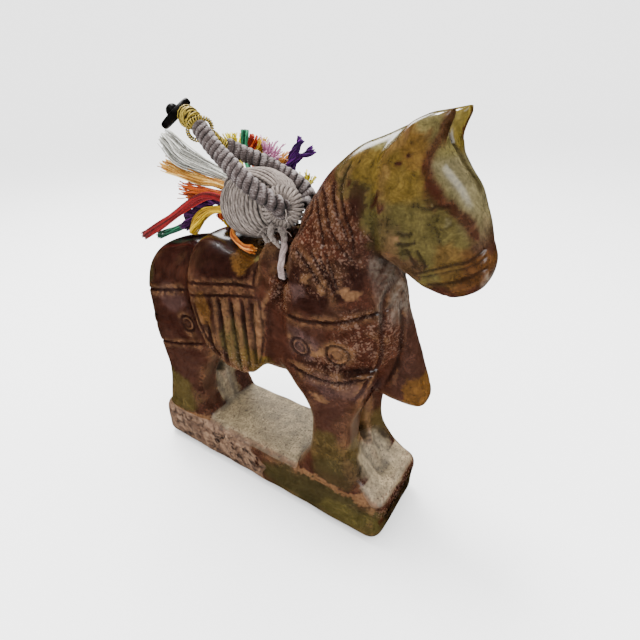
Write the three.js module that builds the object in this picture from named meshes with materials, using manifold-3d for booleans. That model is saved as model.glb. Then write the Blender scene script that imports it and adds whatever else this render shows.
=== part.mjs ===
// A carved jade horse on its own plinth, with a knotted cord, a button strap and a yarn tassel.
// Millimetres. +X is the way the horse faces, +Z is up, the origin is on the plinth's underside, below the
// middle of its top.
// The horse and its plinth are one stone. Side outlines are [x, z] points, and widths are along Y.
import * as THREE from 'three';
import { mergeVertices } from 'three/addons/utils/BufferGeometryUtils.js';
import Module from 'manifold-3d';

const wasm = await Module();
wasm.setup();

// Driving dimensions of the stone.
const PLINTH_LENGTH = 100;
const PLINTH_WIDTH = 30;
const PLINTH_HEIGHT = 18.5;
const PLINTH_CORNER = 4.4;
const PLINTH_EDGE = 1.2;
const PLINTH_LEAN = 1.8;
const PLINTH_FRONT_LEAN = 1.4;
const SKIRT_HALF = 15.6;
const SHOULDER_HALF = 14.6;
const RUMP_HALF = 14.4;
const BARREL_HALF = 13.4;
const CHEEK_HALF = 9.8;
const FLUTES = 5;
const FLUTE_FIRST = -15;
const FLUTE_STEP = 6.2;
const FLUTE_SHRINK = 0.85;
const FLUTE_TOP = 77;
const FLUTE_RADIUS = 1.6;
const LINE_WIDTH = 0.9;
const CARVING_DEPTH = 0.07; // of the local half width
const THROUGH = 60; // longer than the stone is wide

// Driving dimensions of the cord work.
const BORE = [15.6, 87.3];
const BORE_RADIUS = 2.1;
const BORE_CORD_RADIUS = 1.1;
const KNOT_CENTRE = [-2.7, 0.5, 101.6];
const KNOT_AXIS = [0.955, -0.25, 0.16];
const KNOT_HALF_LENGTH = 12.4;
const KNOT_HALF_WIDTH = 9.6;
const COIL_CENTRE = [10.1, -3.8, 103.3];
const COIL_AXIS = [0.5, -0.85, 0.1];
const COIL_RADIUS = 3.7;
const COIL_TUBE_RADIUS = 2.3;
const STRAP_RADIUS = 2.4;
const BUTTON_CENTRE = [-29.9, -1.5, 125.5];
const BUTTON_AXIS = [-0.48, -0.43, 0.76];
const BUTTON_RADIUS = 5.6;
const BUTTON_THICKNESS = 2.2;
const BUTTON_KNOB_RADIUS = 1.9;
const LOOP_RADIUS = 3.5;
const LOOP_TUBE_RADIUS = 0.65;
const FIT_GAP = 0.35;
const CHANNEL_GAP = 0.45;

function clean(geometry) {
  geometry.deleteAttribute('normal');
  geometry.deleteAttribute('uv');
  return mergeVertices(geometry, 1e-4);
}

function toSolid(geometry) {
  const g = clean(geometry.clone());
  return new wasm.Manifold(new wasm.Mesh({
    numProp: 3,
    vertProperties: new Float32Array(g.attributes.position.array),
    triVerts: new Uint32Array(g.index.array),
  }));
}

function toGeometry(solid) {
  const mesh = solid.getMesh();
  const geometry = new THREE.BufferGeometry();
  geometry.setAttribute('position', new THREE.BufferAttribute(new Float32Array(mesh.vertProperties), 3));
  geometry.setIndex(new THREE.BufferAttribute(new Uint32Array(mesh.triVerts), 1));
  return geometry;
}

const joined = (solids) => solids.reduce((sum, solid) => sum.add(solid));

// A closed skin through rings. Each ring is the same number of THREE.Vector3 points.
function skin(rings) {
  const count = rings[0].length;
  const points = rings.flat();
  const index = [];
  for (let r = 0; r + 1 < rings.length; r++) {
    for (let i = 0; i < count; i++) {
      const a = r * count + i;
      const b = r * count + (i + 1) % count;
      index.push(a, b, a + count, b, b + count, a + count);
    }
  }
  const last = (rings.length - 1) * count;
  for (let i = 1; i + 1 < count; i++) {
    index.push(0, i + 1, i, last, last + i, last + i + 1);
  }
  const geometry = new THREE.BufferGeometry().setFromPoints(points);
  geometry.setIndex(index);
  return facingOut(geometry);
}

// Turns a closed geometry's triangles over where they face inwards.
function facingOut(geometry) {
  const p = geometry.attributes.position;
  const index = geometry.index.array;
  const [a, b, c] = [new THREE.Vector3(), new THREE.Vector3(), new THREE.Vector3()];
  let volume = 0;
  for (let i = 0; i < index.length; i += 3) {
    a.fromBufferAttribute(p, index[i]);
    b.fromBufferAttribute(p, index[i + 1]);
    c.fromBufferAttribute(p, index[i + 2]);
    volume += a.dot(b.cross(c));
  }
  if (volume < 0) {
    for (let i = 0; i < index.length; i += 3) {
      [index[i], index[i + 1]] = [index[i + 1], index[i]];
    }
  }
  return geometry;
}

// A body carved through stations. A station is two facing points of the side outline,
// the half width there, and how much wider (+) or narrower (-) it is at the first point.
function carved(stations, { sides = 14, square = 2.6, steps = 2, middle = 0 } = {}) {
  const values = stations.map(([[ax, az], [bx, bz], half, flare = 0]) => [ax, az, bx, bz, half, flare]);
  const tracks = values[0].map((_, k) => values.map((v) => v[k]));
  const at = (track, t) => {
    const i = Math.min(Math.floor(t), track.length - 2);
    const w = t - i;
    const last = track.length - 1;
    const [p0, p1] = [track[Math.max(i - 1, 0)], track[i]];
    const [p2, p3] = [track[i + 1], track[Math.min(i + 2, last)]];
    const tangentIn = (p2 - p0) / 2;
    const tangentOut = (p3 - p1) / 2;
    return p1 + w * (tangentIn + w * (3 * (p2 - p1) - 2 * tangentIn - tangentOut
      + w * (2 * (p1 - p2) + tangentIn + tangentOut)));
  };
  const rings = [];
  const total = (stations.length - 1) * steps;
  for (let s = 0; s <= total; s++) {
    const [ax, az, bx, bz, half, flare] = tracks.map((track) => at(track, s / steps));
    const ring = [];
    for (let i = 0; i < sides; i++) {
      const turn = 2 * Math.PI * i / sides;
      const round = (v) => Math.sign(v) * Math.abs(v) ** (2 / square);
      const u = round(Math.cos(turn));
      const y = middle + round(Math.sin(turn)) * half * (1 + flare * u);
      ring.push(new THREE.Vector3((ax + bx) / 2 + u * (ax - bx) / 2, y, (az + bz) / 2 + u * (az - bz) / 2));
    }
    rings.push(ring);
  }
  return toSolid(skin(rings));
}

const onBothSides = (make) => joined([make(1), make(-1)]);

// A shape drawn in the side view, cut right across the stone.
function sideCut(shape, width = THROUGH, curveSegments = 8) {
  const geometry = new THREE.ExtrudeGeometry(shape, { depth: width, bevelEnabled: false, curveSegments });
  geometry.rotateX(Math.PI / 2);
  geometry.translate(0, width / 2, 0);
  return toSolid(geometry);
}

const smoothLine = (points, pieces = 4) => (points.length < 3
  ? points.map(([x, z]) => new THREE.Vector2(x, z))
  : new THREE.SplineCurve(points.map(([x, z]) => new THREE.Vector2(x, z))).getPoints(pieces));

// A ribbon of the given width along a line in the side view.
function ribbon(points, width = LINE_WIDTH) {
  const line = smoothLine(points);
  const sides = [[], []];
  line.forEach((p, i) => {
    const along = line[Math.min(i + 1, line.length - 1)].clone().sub(line[Math.max(i - 1, 0)]).normalize();
    const off = new THREE.Vector2(-along.y, along.x).multiplyScalar(width / 2);
    sides[0].push(p.clone().add(off));
    sides[1].unshift(p.clone().sub(off));
  });
  return sideCut(new THREE.Shape([...sides[0], ...sides[1]]));
}

function ringLine(x, z, radius, width = LINE_WIDTH) {
  const shape = new THREE.Shape().absarc(x, z, radius + width / 2, 0, 2 * Math.PI);
  shape.holes.push(new THREE.Path().absarc(x, z, radius - width / 2, 0, 2 * Math.PI, true));
  return sideCut(shape, THROUGH, 4);
}

// The plinth is a block with rounded corners. Its back end leans out towards the bottom,
// and its front end a little in.
function plinth() {
  const ring = (z, inset) => {
    const back = -PLINTH_LENGTH / 2 - PLINTH_LEAN * (2 - z / PLINTH_HEIGHT) + inset;
    const front = PLINTH_LENGTH / 2 - PLINTH_FRONT_LEAN * (1 - z / PLINTH_HEIGHT) - inset;
    const [side, r] = [PLINTH_WIDTH / 2 - inset, PLINTH_CORNER];
    const points = [];
    for (let corner = 0; corner < 4; corner++) {
      const x = corner === 0 || corner === 3 ? front - r : back + r;
      const y = (corner < 2 ? 1 : -1) * (side - r);
      for (let i = 0; i <= 3; i++) {
        const turn = (corner + i / 3) * Math.PI / 2;
        points.push(new THREE.Vector3(x + r * Math.cos(turn), y + r * Math.sin(turn), z));
      }
    }
    return points;
  };
  return toSolid(skin([
    ring(0, PLINTH_EDGE),
    ring(PLINTH_EDGE, 0),
    ring(PLINTH_HEIGHT - PLINTH_EDGE, 0),
    ring(PLINTH_HEIGHT, PLINTH_EDGE),
  ]));
}

const rump = () => carved([
  [[-50.8, 66], [-50.4, 56], 3.5],
  [[-50, 74], [-49.4, 47], 9],
  [[-47.7, 80.5], [-47.6, 40], 12],
  [[-42.5, 84.8], [-43.6, 37], RUMP_HALF - 0.4],
  [[-34, 87], [-36, 40], RUMP_HALF],
  [[-24, 88.2], [-25, 47], RUMP_HALF - 0.4],
  [[-12, 87], [-13, 52], BARREL_HALF],
], { square: 3, steps: 1 });

const barrel = () => carved([
  [[-30, 86], [-30, 54], BARREL_HALF - 1],
  [[-4, 87], [-4, 51.4], BARREL_HALF],
  [[22, 90], [22, 53], BARREL_HALF],
], { square: 3.6, sides: 12, steps: 1 });

const shoulder = () => carved([
  [[15.8, 96], [15.8, 60], SHOULDER_HALF - 2.2],
  [[17, 99], [17, 57.5], SHOULDER_HALF - 0.2],
  [[24, 102.6], [24, 54.4], SHOULDER_HALF],
  [[32.4, 102], [32.4, 53.8], SHOULDER_HALF - 0.2],
  [[38.4, 97], [37.6, 55.4], SHOULDER_HALF - 2.4],
  [[42.6, 91], [41.8, 57.4], SHOULDER_HALF - 5.8],
  [[45.4, 85], [45, 63], SHOULDER_HALF - 9.4],
], { square: 2.8, steps: 1 });

// The throat runs down into a narrow flat-fronted breast that ends in a hanging point.
const breast = () => carved([
  [[40.6, 97.5], [30, 97], 4.4],
  [[44.4, 88.5], [34, 86], 3.4],
  [[47.8, 78], [36, 74], 3.6],
  [[51.4, 67.5], [36, 63], 4.2],
  [[54, 59.4], [38.6, 56], 4.8],
  [[55.2, 55], [41.6, 53], 4.6],
  [[54, 52], [47, 51.4], 2.6],
], { square: 4, sides: 12, steps: 1 });

const neck = () => carved([
  [[14.9, 93], [46, 72], SHOULDER_HALF - 1.8],
  [[16.2, 101.6], [44.5, 83], SHOULDER_HALF - 3, -0.1],
  [[19.6, 107.4], [42.4, 89], SHOULDER_HALF - 4, -0.12],
  [[24.8, 114], [40.8, 95], SHOULDER_HALF - 5, -0.12],
  [[31.2, 119.2], [41.6, 99], SHOULDER_HALF - 5.6, -0.12],
  [[37.6, 122.2], [44, 103], SHOULDER_HALF - 6, -0.12],
  [[44.8, 125], [49, 108], SHOULDER_HALF - 6, -0.12],
  [[51.4, 126.2], [55, 118], SHOULDER_HALF - 7, -0.12],
], { steps: 1 });

const head = () => carved([
  [[51, 126.4], [40, 119], CHEEK_HALF - 1.2, -0.12],
  [[53.6, 121.6], [38.6, 113.6], CHEEK_HALF, -0.1],
  [[56.6, 117.2], [38.4, 105], CHEEK_HALF, -0.14],
  [[60.2, 112.8], [40, 97.2], CHEEK_HALF - 0.2, -0.2],
  [[62.8, 107.4], [43.8, 94.2], CHEEK_HALF - 1.2, -0.2],
  [[64.7, 101.8], [47.8, 91.8], CHEEK_HALF - 2.2, -0.16],
  [[66, 97], [51, 89.8], CHEEK_HALF - 2.6, -0.06],
  [[65.2, 92.2], [54, 89], CHEEK_HALF - 3.6],
  [[61.8, 89.2], [56.6, 87.8], CHEEK_HALF - 6],
], { square: 3.2, steps: 1 });

const ear = (side) => carved([
  [[54, 115], [38, 113], 4.1],
  [[53.2, 119.4], [40, 119], 4.1],
  [[53.7, 123.4], [44, 123], 4],
  [[54.7, 126.4], [46.6, 125.6], 3.6],
  [[55.3, 128.2], [50.4, 127.5], 2.6],
], { square: 2.8, sides: 10, steps: 1, middle: side * 5.6 });

const foreleg = (side) => carved([
  [[43, 64], [9.4, 61], 6.2],
  [[40.4, 53.6], [16.2, 53], 6.2],
  [[37.6, 46], [21.8, 46], 6],
  [[36.2, 38], [22.8, 38], 5.8],
  [[36.6, 30], [21.8, 30], 6],
  [[41, 22.5], [18.5, 23], 6.4],
  [[48, 17], [15, 17], 6.8],
], { sides: 12, square: 3.6, steps: 1, middle: side * 8.2 });

const hindleg = (side) => carved([
  [[-17, 58], [-49.4, 58], 6],
  [[-18.4, 50], [-48.4, 50], 6],
  [[-23.4, 42], [-46.8, 42], 5.8],
  [[-27, 34], [-45.8, 34], 5.8],
  [[-27.4, 26], [-47.2, 26], 6.2],
  [[-24, 17], [-50, 17], 6.8],
], { sides: 12, square: 3.6, steps: 1, middle: side * 8.2 });

// Each pair of legs is joined by a thin web with a drilled slot through it.
const legWebs = () => joined([
  carved([[[36, 58], [23, 58], 4], [[34, 40], [25, 40], 4], [[43, 17], [20, 17], 5]], { sides: 8, steps: 1 }),
  carved([
    [[-20, 54], [-45, 54], 4],
    [[-28.6, 40], [-45, 40], 4],
    [[-26, 17], [-48, 17], 5],
  ], { sides: 8, steps: 1 }),
]);

function legSlot(from, to, low, high, width) {
  const slot = new THREE.Shape();
  slot.absarc(0, low + width / 2, width / 2, Math.PI, 2 * Math.PI);
  slot.absarc(0, high - width / 2, width / 2, 0, Math.PI);
  const geometry = new THREE.ExtrudeGeometry(slot, {
    depth: to - from,
    bevelEnabled: false,
    curveSegments: 3,
  });
  geometry.rotateX(Math.PI / 2);
  geometry.rotateZ(Math.PI / 2);
  geometry.translate(from, 0, 0);
  return toSolid(geometry);
}

// The saddle: a raised skirt on both flanks under a seat that dips between two rolls.
function saddle() {
  const mass = carved([
    [[-23, 89.4], [-23, 40], SKIRT_HALF - 0.8],
    [[-18.5, 92.2], [-18.5, 40], SKIRT_HALF],
    [[-12, 91.6], [-12, 40], SKIRT_HALF],
    [[-3, 89.6], [-3, 40], SKIRT_HALF],
    [[4, 91], [4, 40], SKIRT_HALF],
    [[10.4, 95], [10.4, 40], SKIRT_HALF - 0.6],
  ], { square: 3.4, sides: 16, steps: 1 });
  const shield = new THREE.Shape();
  shield.moveTo(-21.8, 100);
  shield.lineTo(-22.3, 74.5);
  shield.bezierCurveTo(-22.2, 59, -18.4, 50.2, -7.4, 50.2);
  shield.bezierCurveTo(2.4, 50.2, 9, 54.6, 9.2, 70.6);
  shield.lineTo(9.6, 100);
  return sideCut(shield).intersect(mass);
}

function pommel() {
  const roll = new THREE.Shape();
  roll.moveTo(7.8, 110);
  roll.lineTo(7, 92);
  roll.lineTo(8, 75.2);
  roll.bezierCurveTo(11.4, 78.7, 14, 83.7, 14.8, 89.7);
  roll.lineTo(15.2, 110);
  const mass = carved([
    [[6, 96], [6, 60], SHOULDER_HALF + 0.2],
    [[11, 97.2], [11, 60], SHOULDER_HALF + 0.2],
    [[16, 95.6], [16, 60], SHOULDER_HALF - 0.4],
  ], { square: 2.8, steps: 1 });
  return sideCut(roll, THROUGH, 4).intersect(mass);
}

// The V groove between the ears. Each row is its deepest point, the way it opens and its half width.
function earGroove() {
  const reach = 8;
  return toSolid(skin([
    [[45.4, 125.4], [-0.4, 0.9], 1],
    [[50.4, 123], [0.1, 1], 3.4],
    [[51, 120], [0.75, 0.65], 3],
    [[54.4, 117], [0.7, 0.7], 2],
    [[58.6, 114.2], [0.7, 0.7], 1],
  ].map(([[x, z], [dx, dz], half]) => [
    new THREE.Vector3(x, 0, z),
    new THREE.Vector3(x + dx * reach, half, z + dz * reach),
    new THREE.Vector3(x + dx * reach, -half, z + dz * reach),
  ])));
}

// Flutes down the skirt, closer together towards the front.
function flutes() {
  const channels = [];
  let x = FLUTE_FIRST;
  for (let i = 0; i < FLUTES; i++) {
    const top = i === 0 ? FLUTE_TOP - 9 : FLUTE_TOP;
    const curve = new THREE.LineCurve3(new THREE.Vector3(x, 0, top), new THREE.Vector3(x - 1, 0, 50));
    const section = new THREE.Shape().absarc(0, 0, FLUTE_RADIUS, 0, 2 * Math.PI);
    const geometry = new THREE.ExtrudeGeometry(section, {
      extrudePath: curve,
      steps: 1,
      curveSegments: 3,
      bevelEnabled: false,
    });
    for (const side of [1, -1]) {
      channels.push(toSolid(geometry.clone().translate(0, side * (SKIRT_HALF + 0.5), 0)));
    }
    x += FLUTE_STEP * FLUTE_SHRINK ** i;
  }
  return joined(channels);
}

// Lines drawn on the flanks: bands, roundels, mane and noseband.
function lineWork() {
  const bands = [
    [[-23.5, 78.2], [-8.5, 80.8], [7.8, 83]],
    [[-23.3, 74.2], [-8.4, 77], [8.4, 79.3]],
    [[-57.9, 67.3], [-41.3, 70.7], [-23.7, 74.2]],
    [[-56.4, 45.4], [-40, 49.3], [-19.6, 54.5]],
    [[15.7, 77.9], [26.3, 77.3], [46, 82.9]],
    [[15.5, 61.4], [26.9, 58.9], [44.4, 64.4]],
    [[48.9, 92.2], [56.9, 93.8], [67.2, 98.9]],
    [[33.3, 117.9], [31.3, 108.9], [35.9, 96.1]],
    [[22, 105.7], [27.3, 97.9], [34.6, 85.3]],
  ].map((line) => ribbon(line));
  const roundels = [[-27, 61], [-44.3, 57.9], [21.2, 67.8], [33.2, 68.8]]
    .map(([x, z]) => ringLine(x, z, 3.2));
  return [...bands, ...roundels];
}

function horse() {
  const massing = joined([
    plinth(), rump(), barrel(), shoulder(), breast(), neck(), head(),
    onBothSides(ear), onBothSides(foreleg), onBothSides(hindleg), legWebs(), saddle(), pommel(),
  ]);
  const shaped = massing
    .subtract(earGroove())
    .subtract(flutes())
    .subtract(legSlot(8, 60, 29, 48, 4.6))
    .subtract(legSlot(-60, -14, 32, 46, 4.6))
    .subtract(boreHole());
  const core = toSolid(toGeometry(shaped).scale(1, 1 - CARVING_DEPTH, 1));
  return shaped.subtract(joined(lineWork()).subtract(core));
}

// The hole through the withers, open above to the groove that the carrying cord lies in.
function boreHole() {
  const geometry = new THREE.CylinderGeometry(BORE_RADIUS, BORE_RADIUS, THROUGH, 10);
  geometry.translate(BORE[0], 0, BORE[1]);
  return toSolid(geometry).add(carryingCord(CHANNEL_GAP));
}

const vector = ([x, y, z]) => new THREE.Vector3(x, y, z);

// Moves a geometry made about the origin to a centre and turns its own axis to a new one.
function placed(geometry, centre, axis, own = [0, 1, 0]) {
  geometry.applyQuaternion(new THREE.Quaternion().setFromUnitVectors(vector(own), vector(axis).normalize()));
  return toSolid(geometry.translate(...centre));
}

// A round cord through points, closed at both ends. It can be grown all over, ends too, to cut its own room.
function cord(points, radius, steps, grow = 0) {
  const route = points.map(vector);
  const from = route[0].clone().sub(route[1]).setLength(grow);
  const to = route.at(-1).clone().sub(route.at(-2)).setLength(grow);
  route[0].add(from);
  route.at(-1).add(to);
  return toSolid(new THREE.ExtrudeGeometry(new THREE.Shape().absarc(0, 0, radius + grow, 0, 2 * Math.PI), {
    extrudePath: new THREE.CatmullRomCurve3(route),
    steps,
    curveSegments: 4,
    bevelEnabled: false,
  }));
}

// The cord goes down from the knot, through the withers and up again on the other side.
function carryingCord(grow = 0) {
  const [x, z] = BORE;
  const near = [
    [10.1, -4.6, 98.3], [12.9, -7.6, 97.1], [15.1, -10.4, 95.3], [16, -12.9, 92.7],
    [16.5, -14.3, 90.1], [16, -13, 87.6], [x, -9, z],
  ];
  const far = near.map(([px, py, pz]) => [px, -py, pz]).reverse();
  return cord([...near, ...far], BORE_CORD_RADIUS, 15, grow);
}

const LOOP_CENTRE = [-18.2, -3.6, 121.85];
const LOOP_AXIS = [-0.79, 0.39, 0.47];
const LOOP_TAIL = [[-17.1, -0.2, 120.7], [-17.2, 2.4, 118.6], [-15.9, 4.4, 116.5]];
const NEAR_STRAP = [
  [11.6, -6.4, 103.1], [12.4, -8.6, 105], [9.4, -11, 107.8], [4, -11, 110.7],
  [-2.2, -9.5, 113.9], [-9.7, -7, 117.2], [-16.2, -4.5, 120.8], [-19.5, -3, 122.6],
];
const FAR_STRAP = [
  [10.8, 5.4, 101.4], [10.8, 7.4, 104.2], [6.4, 8.2, 107.3], [-0.4, 9, 109.6],
  [-6.3, 8, 112.2], [-11.9, 7, 114], [-16.6, 5, 116.2],
];

const nearStrap = (grow = 0) => cord(NEAR_STRAP, STRAP_RADIUS, 9, grow);
const farStrap = (grow = 0) => cord(FAR_STRAP, STRAP_RADIUS, 8, grow);

// The ball of stitched cord, with the coil that the near strap comes out of.
function knotBody(grow = 0) {
  const ball = new THREE.SphereGeometry(1, 12, 8);
  ball.scale(KNOT_HALF_WIDTH + grow, KNOT_HALF_LENGTH + grow, KNOT_HALF_WIDTH + grow);
  const coil = new THREE.TorusGeometry(COIL_RADIUS, COIL_TUBE_RADIUS + grow, 7, 11);
  return placed(ball, KNOT_CENTRE, KNOT_AXIS).add(placed(coil, COIL_CENTRE, COIL_AXIS, [0, 0, 1]));
}

const knot = () => knotBody()
  .subtract(nearStrap(FIT_GAP))
  .subtract(farStrap(FIT_GAP))
  .subtract(carryingCord(FIT_GAP));

function button() {
  const [r, half] = [BUTTON_RADIUS, BUTTON_THICKNESS / 2];
  const profile = [
    [0, -half], [r - 1, -half], [r, -0.3], [r - 0.2, 0.6], [r - 1.2, half],
    [BUTTON_KNOB_RADIUS, half], [BUTTON_KNOB_RADIUS, half + 1],
    [BUTTON_KNOB_RADIUS * 0.6, half + 1.8], [0, half + 2],
  ];
  const turned = new THREE.LatheGeometry(profile.map(([x, y]) => new THREE.Vector2(x, y)), 12);
  return placed(turned, BUTTON_CENTRE, BUTTON_AXIS);
}

// Gold thread wound round the neck under the button.
const goldNeck = () => bundle(
  [[-20.3, -3.2, 123.5], [-22.3, -3.3, 124.9], [-25.4, -1.6, 123.7], [-28.2, -0.5, 123.5]],
  [1.8, 2.2, 1.5, 1.2],
  8,
).subtract(nearStrap(FIT_GAP));

// The far strap ends in a gold loop that the near strap's neck is put through.
function goldLoop() {
  const ring = new THREE.TorusGeometry(LOOP_RADIUS, LOOP_TUBE_RADIUS, 5, 12);
  const tail = cord(LOOP_TAIL, LOOP_TUBE_RADIUS * 1.4, 2);
  return placed(ring, LOOP_CENTRE, LOOP_AXIS, [0, 0, 1]).add(tail).subtract(farStrap(FIT_GAP));
}

// A soft tube through points, with a radius at each.
function bundle(points, radii, sides = 5) {
  const curve = new THREE.CatmullRomCurve3(points.map(vector));
  const last = points.length - 1;
  const frames = curve.computeFrenetFrames(last);
  return toSolid(skin(points.map((point, k) => {
    const ring = [];
    for (let i = 0; i < sides; i++) {
      const turn = 2 * Math.PI * i / sides;
      ring.push(vector(point)
        .addScaledVector(frames.normals[k], Math.cos(turn) * radii[k])
        .addScaledVector(frames.binormals[k], Math.sin(turn) * radii[k]));
    }
    return ring;
  })));
}

const group = new THREE.Group();

function add(name, solid, color, roughness = 0.8, metalness = 0) {
  const material = new THREE.MeshStandardMaterial({ color, roughness, metalness });
  const mesh = new THREE.Mesh(toGeometry(solid), material);
  mesh.name = name;
  group.add(mesh);
}

add('horse', horse(), 0x6a4a2c, 0.25);
add('carrying_cord', carryingCord(), 0xb5adb2, 0.9);
add('knot', knot(), 0xa39a98, 0.9);
add('strap_near', nearStrap(), 0xa39a98, 0.9);
add('strap_far', farStrap(), 0xa39a98, 0.9);
add('gold_neck', goldNeck(), 0xc9a63c, 0.5);
add('gold_loop', goldLoop(), 0xc9a63c, 0.5);
add('button', button(), 0x151313, 0.3);

// The yarn ends of the tassel, from the top of the knot's back end downwards, then along its far side.
const YARNS = {
  silver: [0xc9c9cc, [
    [-9.9, 3.5, 105.5], [-18, 4, 107.8], [-27.5, 3.6, 110.2],
    [-34.6, 2, 113.2], [-38.5, 0.8, 117.4], [-41.4, 0, 120],
  ], [1, 1.1, 1.9, 2.7, 2, 1]],
  peach: [0xe8b07a, [
    [-9.8, 0.6, 104.4], [-18.7, 0.6, 106], [-25, 0.8, 106.3],
    [-31.8, 1, 107.2], [-38.1, 1, 108.8], [-44.7, 1, 110.2],
  ], [1, 1, 1.3, 1.5, 1.5, 0.9]],
  orange: [0xe2682a, [
    [-8.7, -1.4, 103.4], [-17.4, -1.4, 103.4], [-24.2, -1, 102.4], [-32.9, -1, 100.3],
  ], [0.9, 1, 1.6, 1.3]],
  red: [0xc8242c, [
    [-8.5, -4.3, 100.8], [-16.9, -4.3, 101.7], [-23.4, -4.3, 99.6],
    [-33.6, -4.1, 94.3], [-45.5, -3.7, 89.1], [-58.2, -3.7, 83.8],
  ], [0.9, 0.9, 1.4, 1.5, 1.2, 0.7]],
  purple: [0x5a2a6e, [
    [-9.6, 1.2, 99.8], [-17.9, 1.4, 100.5], [-26.9, 1.4, 97.5], [-31.3, -0.8, 93.5], [-34.3, -1.1, 90.1],
  ], [0.9, 0.9, 1.5, 2, 1.7]],
  yellow: [0xe0b81c, [
    [-9.5, -1.6, 98.4], [-16.7, -1.6, 97.8], [-22.3, -1.6, 95.9], [-24.7, -3.7, 93], [-26.3, -3.8, 90.7],
  ], [0.9, 0.9, 1.4, 1.7, 1.2]],
  red_short: [0xd8452c, [
    [-9.6, 3.8, 97.5], [-16.8, 4.4, 96.8], [-21.9, 4.8, 94.7], [-22.8, 3, 93.1],
  ], [0.9, 0.9, 1.5, 1.3]],
  yellow_short: [0xe0b81c, [[-9.5, 0.6, 96], [-15, 0.8, 94.9], [-16.4, -0.9, 93.7]], [0.9, 1.3, 1.1]],
  green: [0x2f7a5a, [
    [-9.7, 6, 99.6], [-19.8, 6.6, 98.4], [-31.2, 6.4, 94.1],
    [-37.8, 1.4, 89.9], [-46.8, 0.4, 86.2], [-53.2, -2.4, 83.9],
  ], [0.8, 0.8, 1.2, 1.3, 1.1, 0.8]],
  seat_orange: [0xe58a3c, [
    [-10.4, -2, 95.3], [-8.5, -5.3, 93.1], [-2.4, -8, 91.5], [4.2, -9.8, 91.8],
  ], [0.7, 0.8, 0.9, 0.8]],
  far_yellow: [0xe8cf3a, [[-9.5, 5, 105.5], [-18.1, 10.6, 110.5], [-20.5, 12.6, 114.6], [-20.7, 13, 120.3]],
    [0.7, 0.8, 1.1, 1.8]],
  far_green: [0x2f8a5a, [[-7.7, 5.6, 106.2], [-15, 10.9, 110.6], [-17, 12.8, 114.7], [-16.4, 13, 121.1]],
    [0.6, 0.6, 0.8, 1.2]],
  far_red: [0xd83a2c, [[-6, 6, 106.4], [-12.5, 11.3, 110.7], [-14.5, 13, 114.7], [-12.4, 13.4, 119.4]],
    [0.6, 0.6, 0.8, 1.3]],
  far_gold: [0xe0b030, [[-4.4, 6.2, 106.7], [-10.2, 11.6, 110.3], [-11.6, 13.2, 114], [-9.2, 13.4, 117.4]],
    [0.6, 0.6, 0.8, 1.2]],
  far_pink: [0xd89ab0, [[-2.5, 6.4, 106.5], [-7.1, 12, 109.4], [-8, 13.2, 112.6], [-4.5, 13.4, 116.7]],
    [0.6, 0.7, 1.1, 1.8]],
  far_orange: [0xe8a05a, [[-0.8, 6.4, 104.8], [-3.5, 12.6, 107.5], [-3, 13.4, 111.1], [0.6, 13.6, 113.4]],
    [0.6, 0.7, 0.9, 1.2]],
  far_purple: [0x6a2a86, [[1.5, 6, 103.8], [1.6, 12.6, 106], [2.9, 13.4, 111], [5.5, 12.8, 119.7]],
    [0.6, 0.6, 0.9, 1.1]],
  far_lemon: [0xe8cf4a, [[4, 5.4, 102.2], [5.5, 11.4, 103.2], [5.9, 13.2, 106.1], [7.1, 13.6, 109.3]],
    [0.6, 0.7, 0.9, 1.2]],
};
for (const [name, [color, points, radii]] of Object.entries(YARNS)) {
  add(`yarn_${name}`, bundle(points, radii).subtract(knotBody(FIT_GAP)), color, 0.95);
}

export default group;
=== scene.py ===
# A carved jade horse on its plinth, with a ball of stitched cord, two hitched straps, a button and a yarn tassel.
import math

import bpy
import bmesh
import numpy as np
from mathutils import Matrix, Vector


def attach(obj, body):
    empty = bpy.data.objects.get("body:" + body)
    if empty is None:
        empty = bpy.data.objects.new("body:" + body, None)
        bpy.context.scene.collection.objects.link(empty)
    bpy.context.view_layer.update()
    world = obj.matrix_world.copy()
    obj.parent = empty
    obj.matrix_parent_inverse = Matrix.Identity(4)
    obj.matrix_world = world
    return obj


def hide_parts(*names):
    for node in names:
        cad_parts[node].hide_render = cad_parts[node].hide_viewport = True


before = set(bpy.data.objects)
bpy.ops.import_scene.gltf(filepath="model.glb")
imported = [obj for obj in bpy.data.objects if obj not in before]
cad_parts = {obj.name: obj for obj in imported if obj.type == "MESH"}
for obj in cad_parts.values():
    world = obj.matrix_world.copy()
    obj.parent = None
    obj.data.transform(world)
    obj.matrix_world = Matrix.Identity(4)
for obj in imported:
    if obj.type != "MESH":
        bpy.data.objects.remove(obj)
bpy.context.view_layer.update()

# Camera
# It looks at the horse from above its right shoulder, close by and through a wide lens, so the head looks large.
CAMERA_PLACE = (0.0833, -0.0948, 0.1330)
CAMERA_TURN, CAMERA_TILT, CAMERA_ROLL = math.radians(34.23), math.radians(29.14), math.radians(-1.39)

camera_back = Vector((math.sin(CAMERA_TURN) * math.cos(CAMERA_TILT), -math.cos(CAMERA_TURN) * math.cos(CAMERA_TILT),
                      math.sin(CAMERA_TILT)))
camera_right = Vector((0, 0, 1)).cross(camera_back).normalized()
camera_up = camera_back.cross(camera_right)
camera_data = bpy.data.cameras.new("camera")
camera_data.lens = 24.10
camera_data.sensor_width = 36
camera_data.clip_start = 0.005
camera = bpy.data.objects.new("camera", camera_data)
camera.matrix_world = Matrix.Translation(CAMERA_PLACE) @ Matrix((
    camera_right * math.cos(CAMERA_ROLL) + camera_up * math.sin(CAMERA_ROLL),
    camera_up * math.cos(CAMERA_ROLL) - camera_right * math.sin(CAMERA_ROLL),
    camera_back)).transposed().to_4x4()
bpy.context.collection.objects.link(camera)
bpy.context.scene.camera = camera

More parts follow.
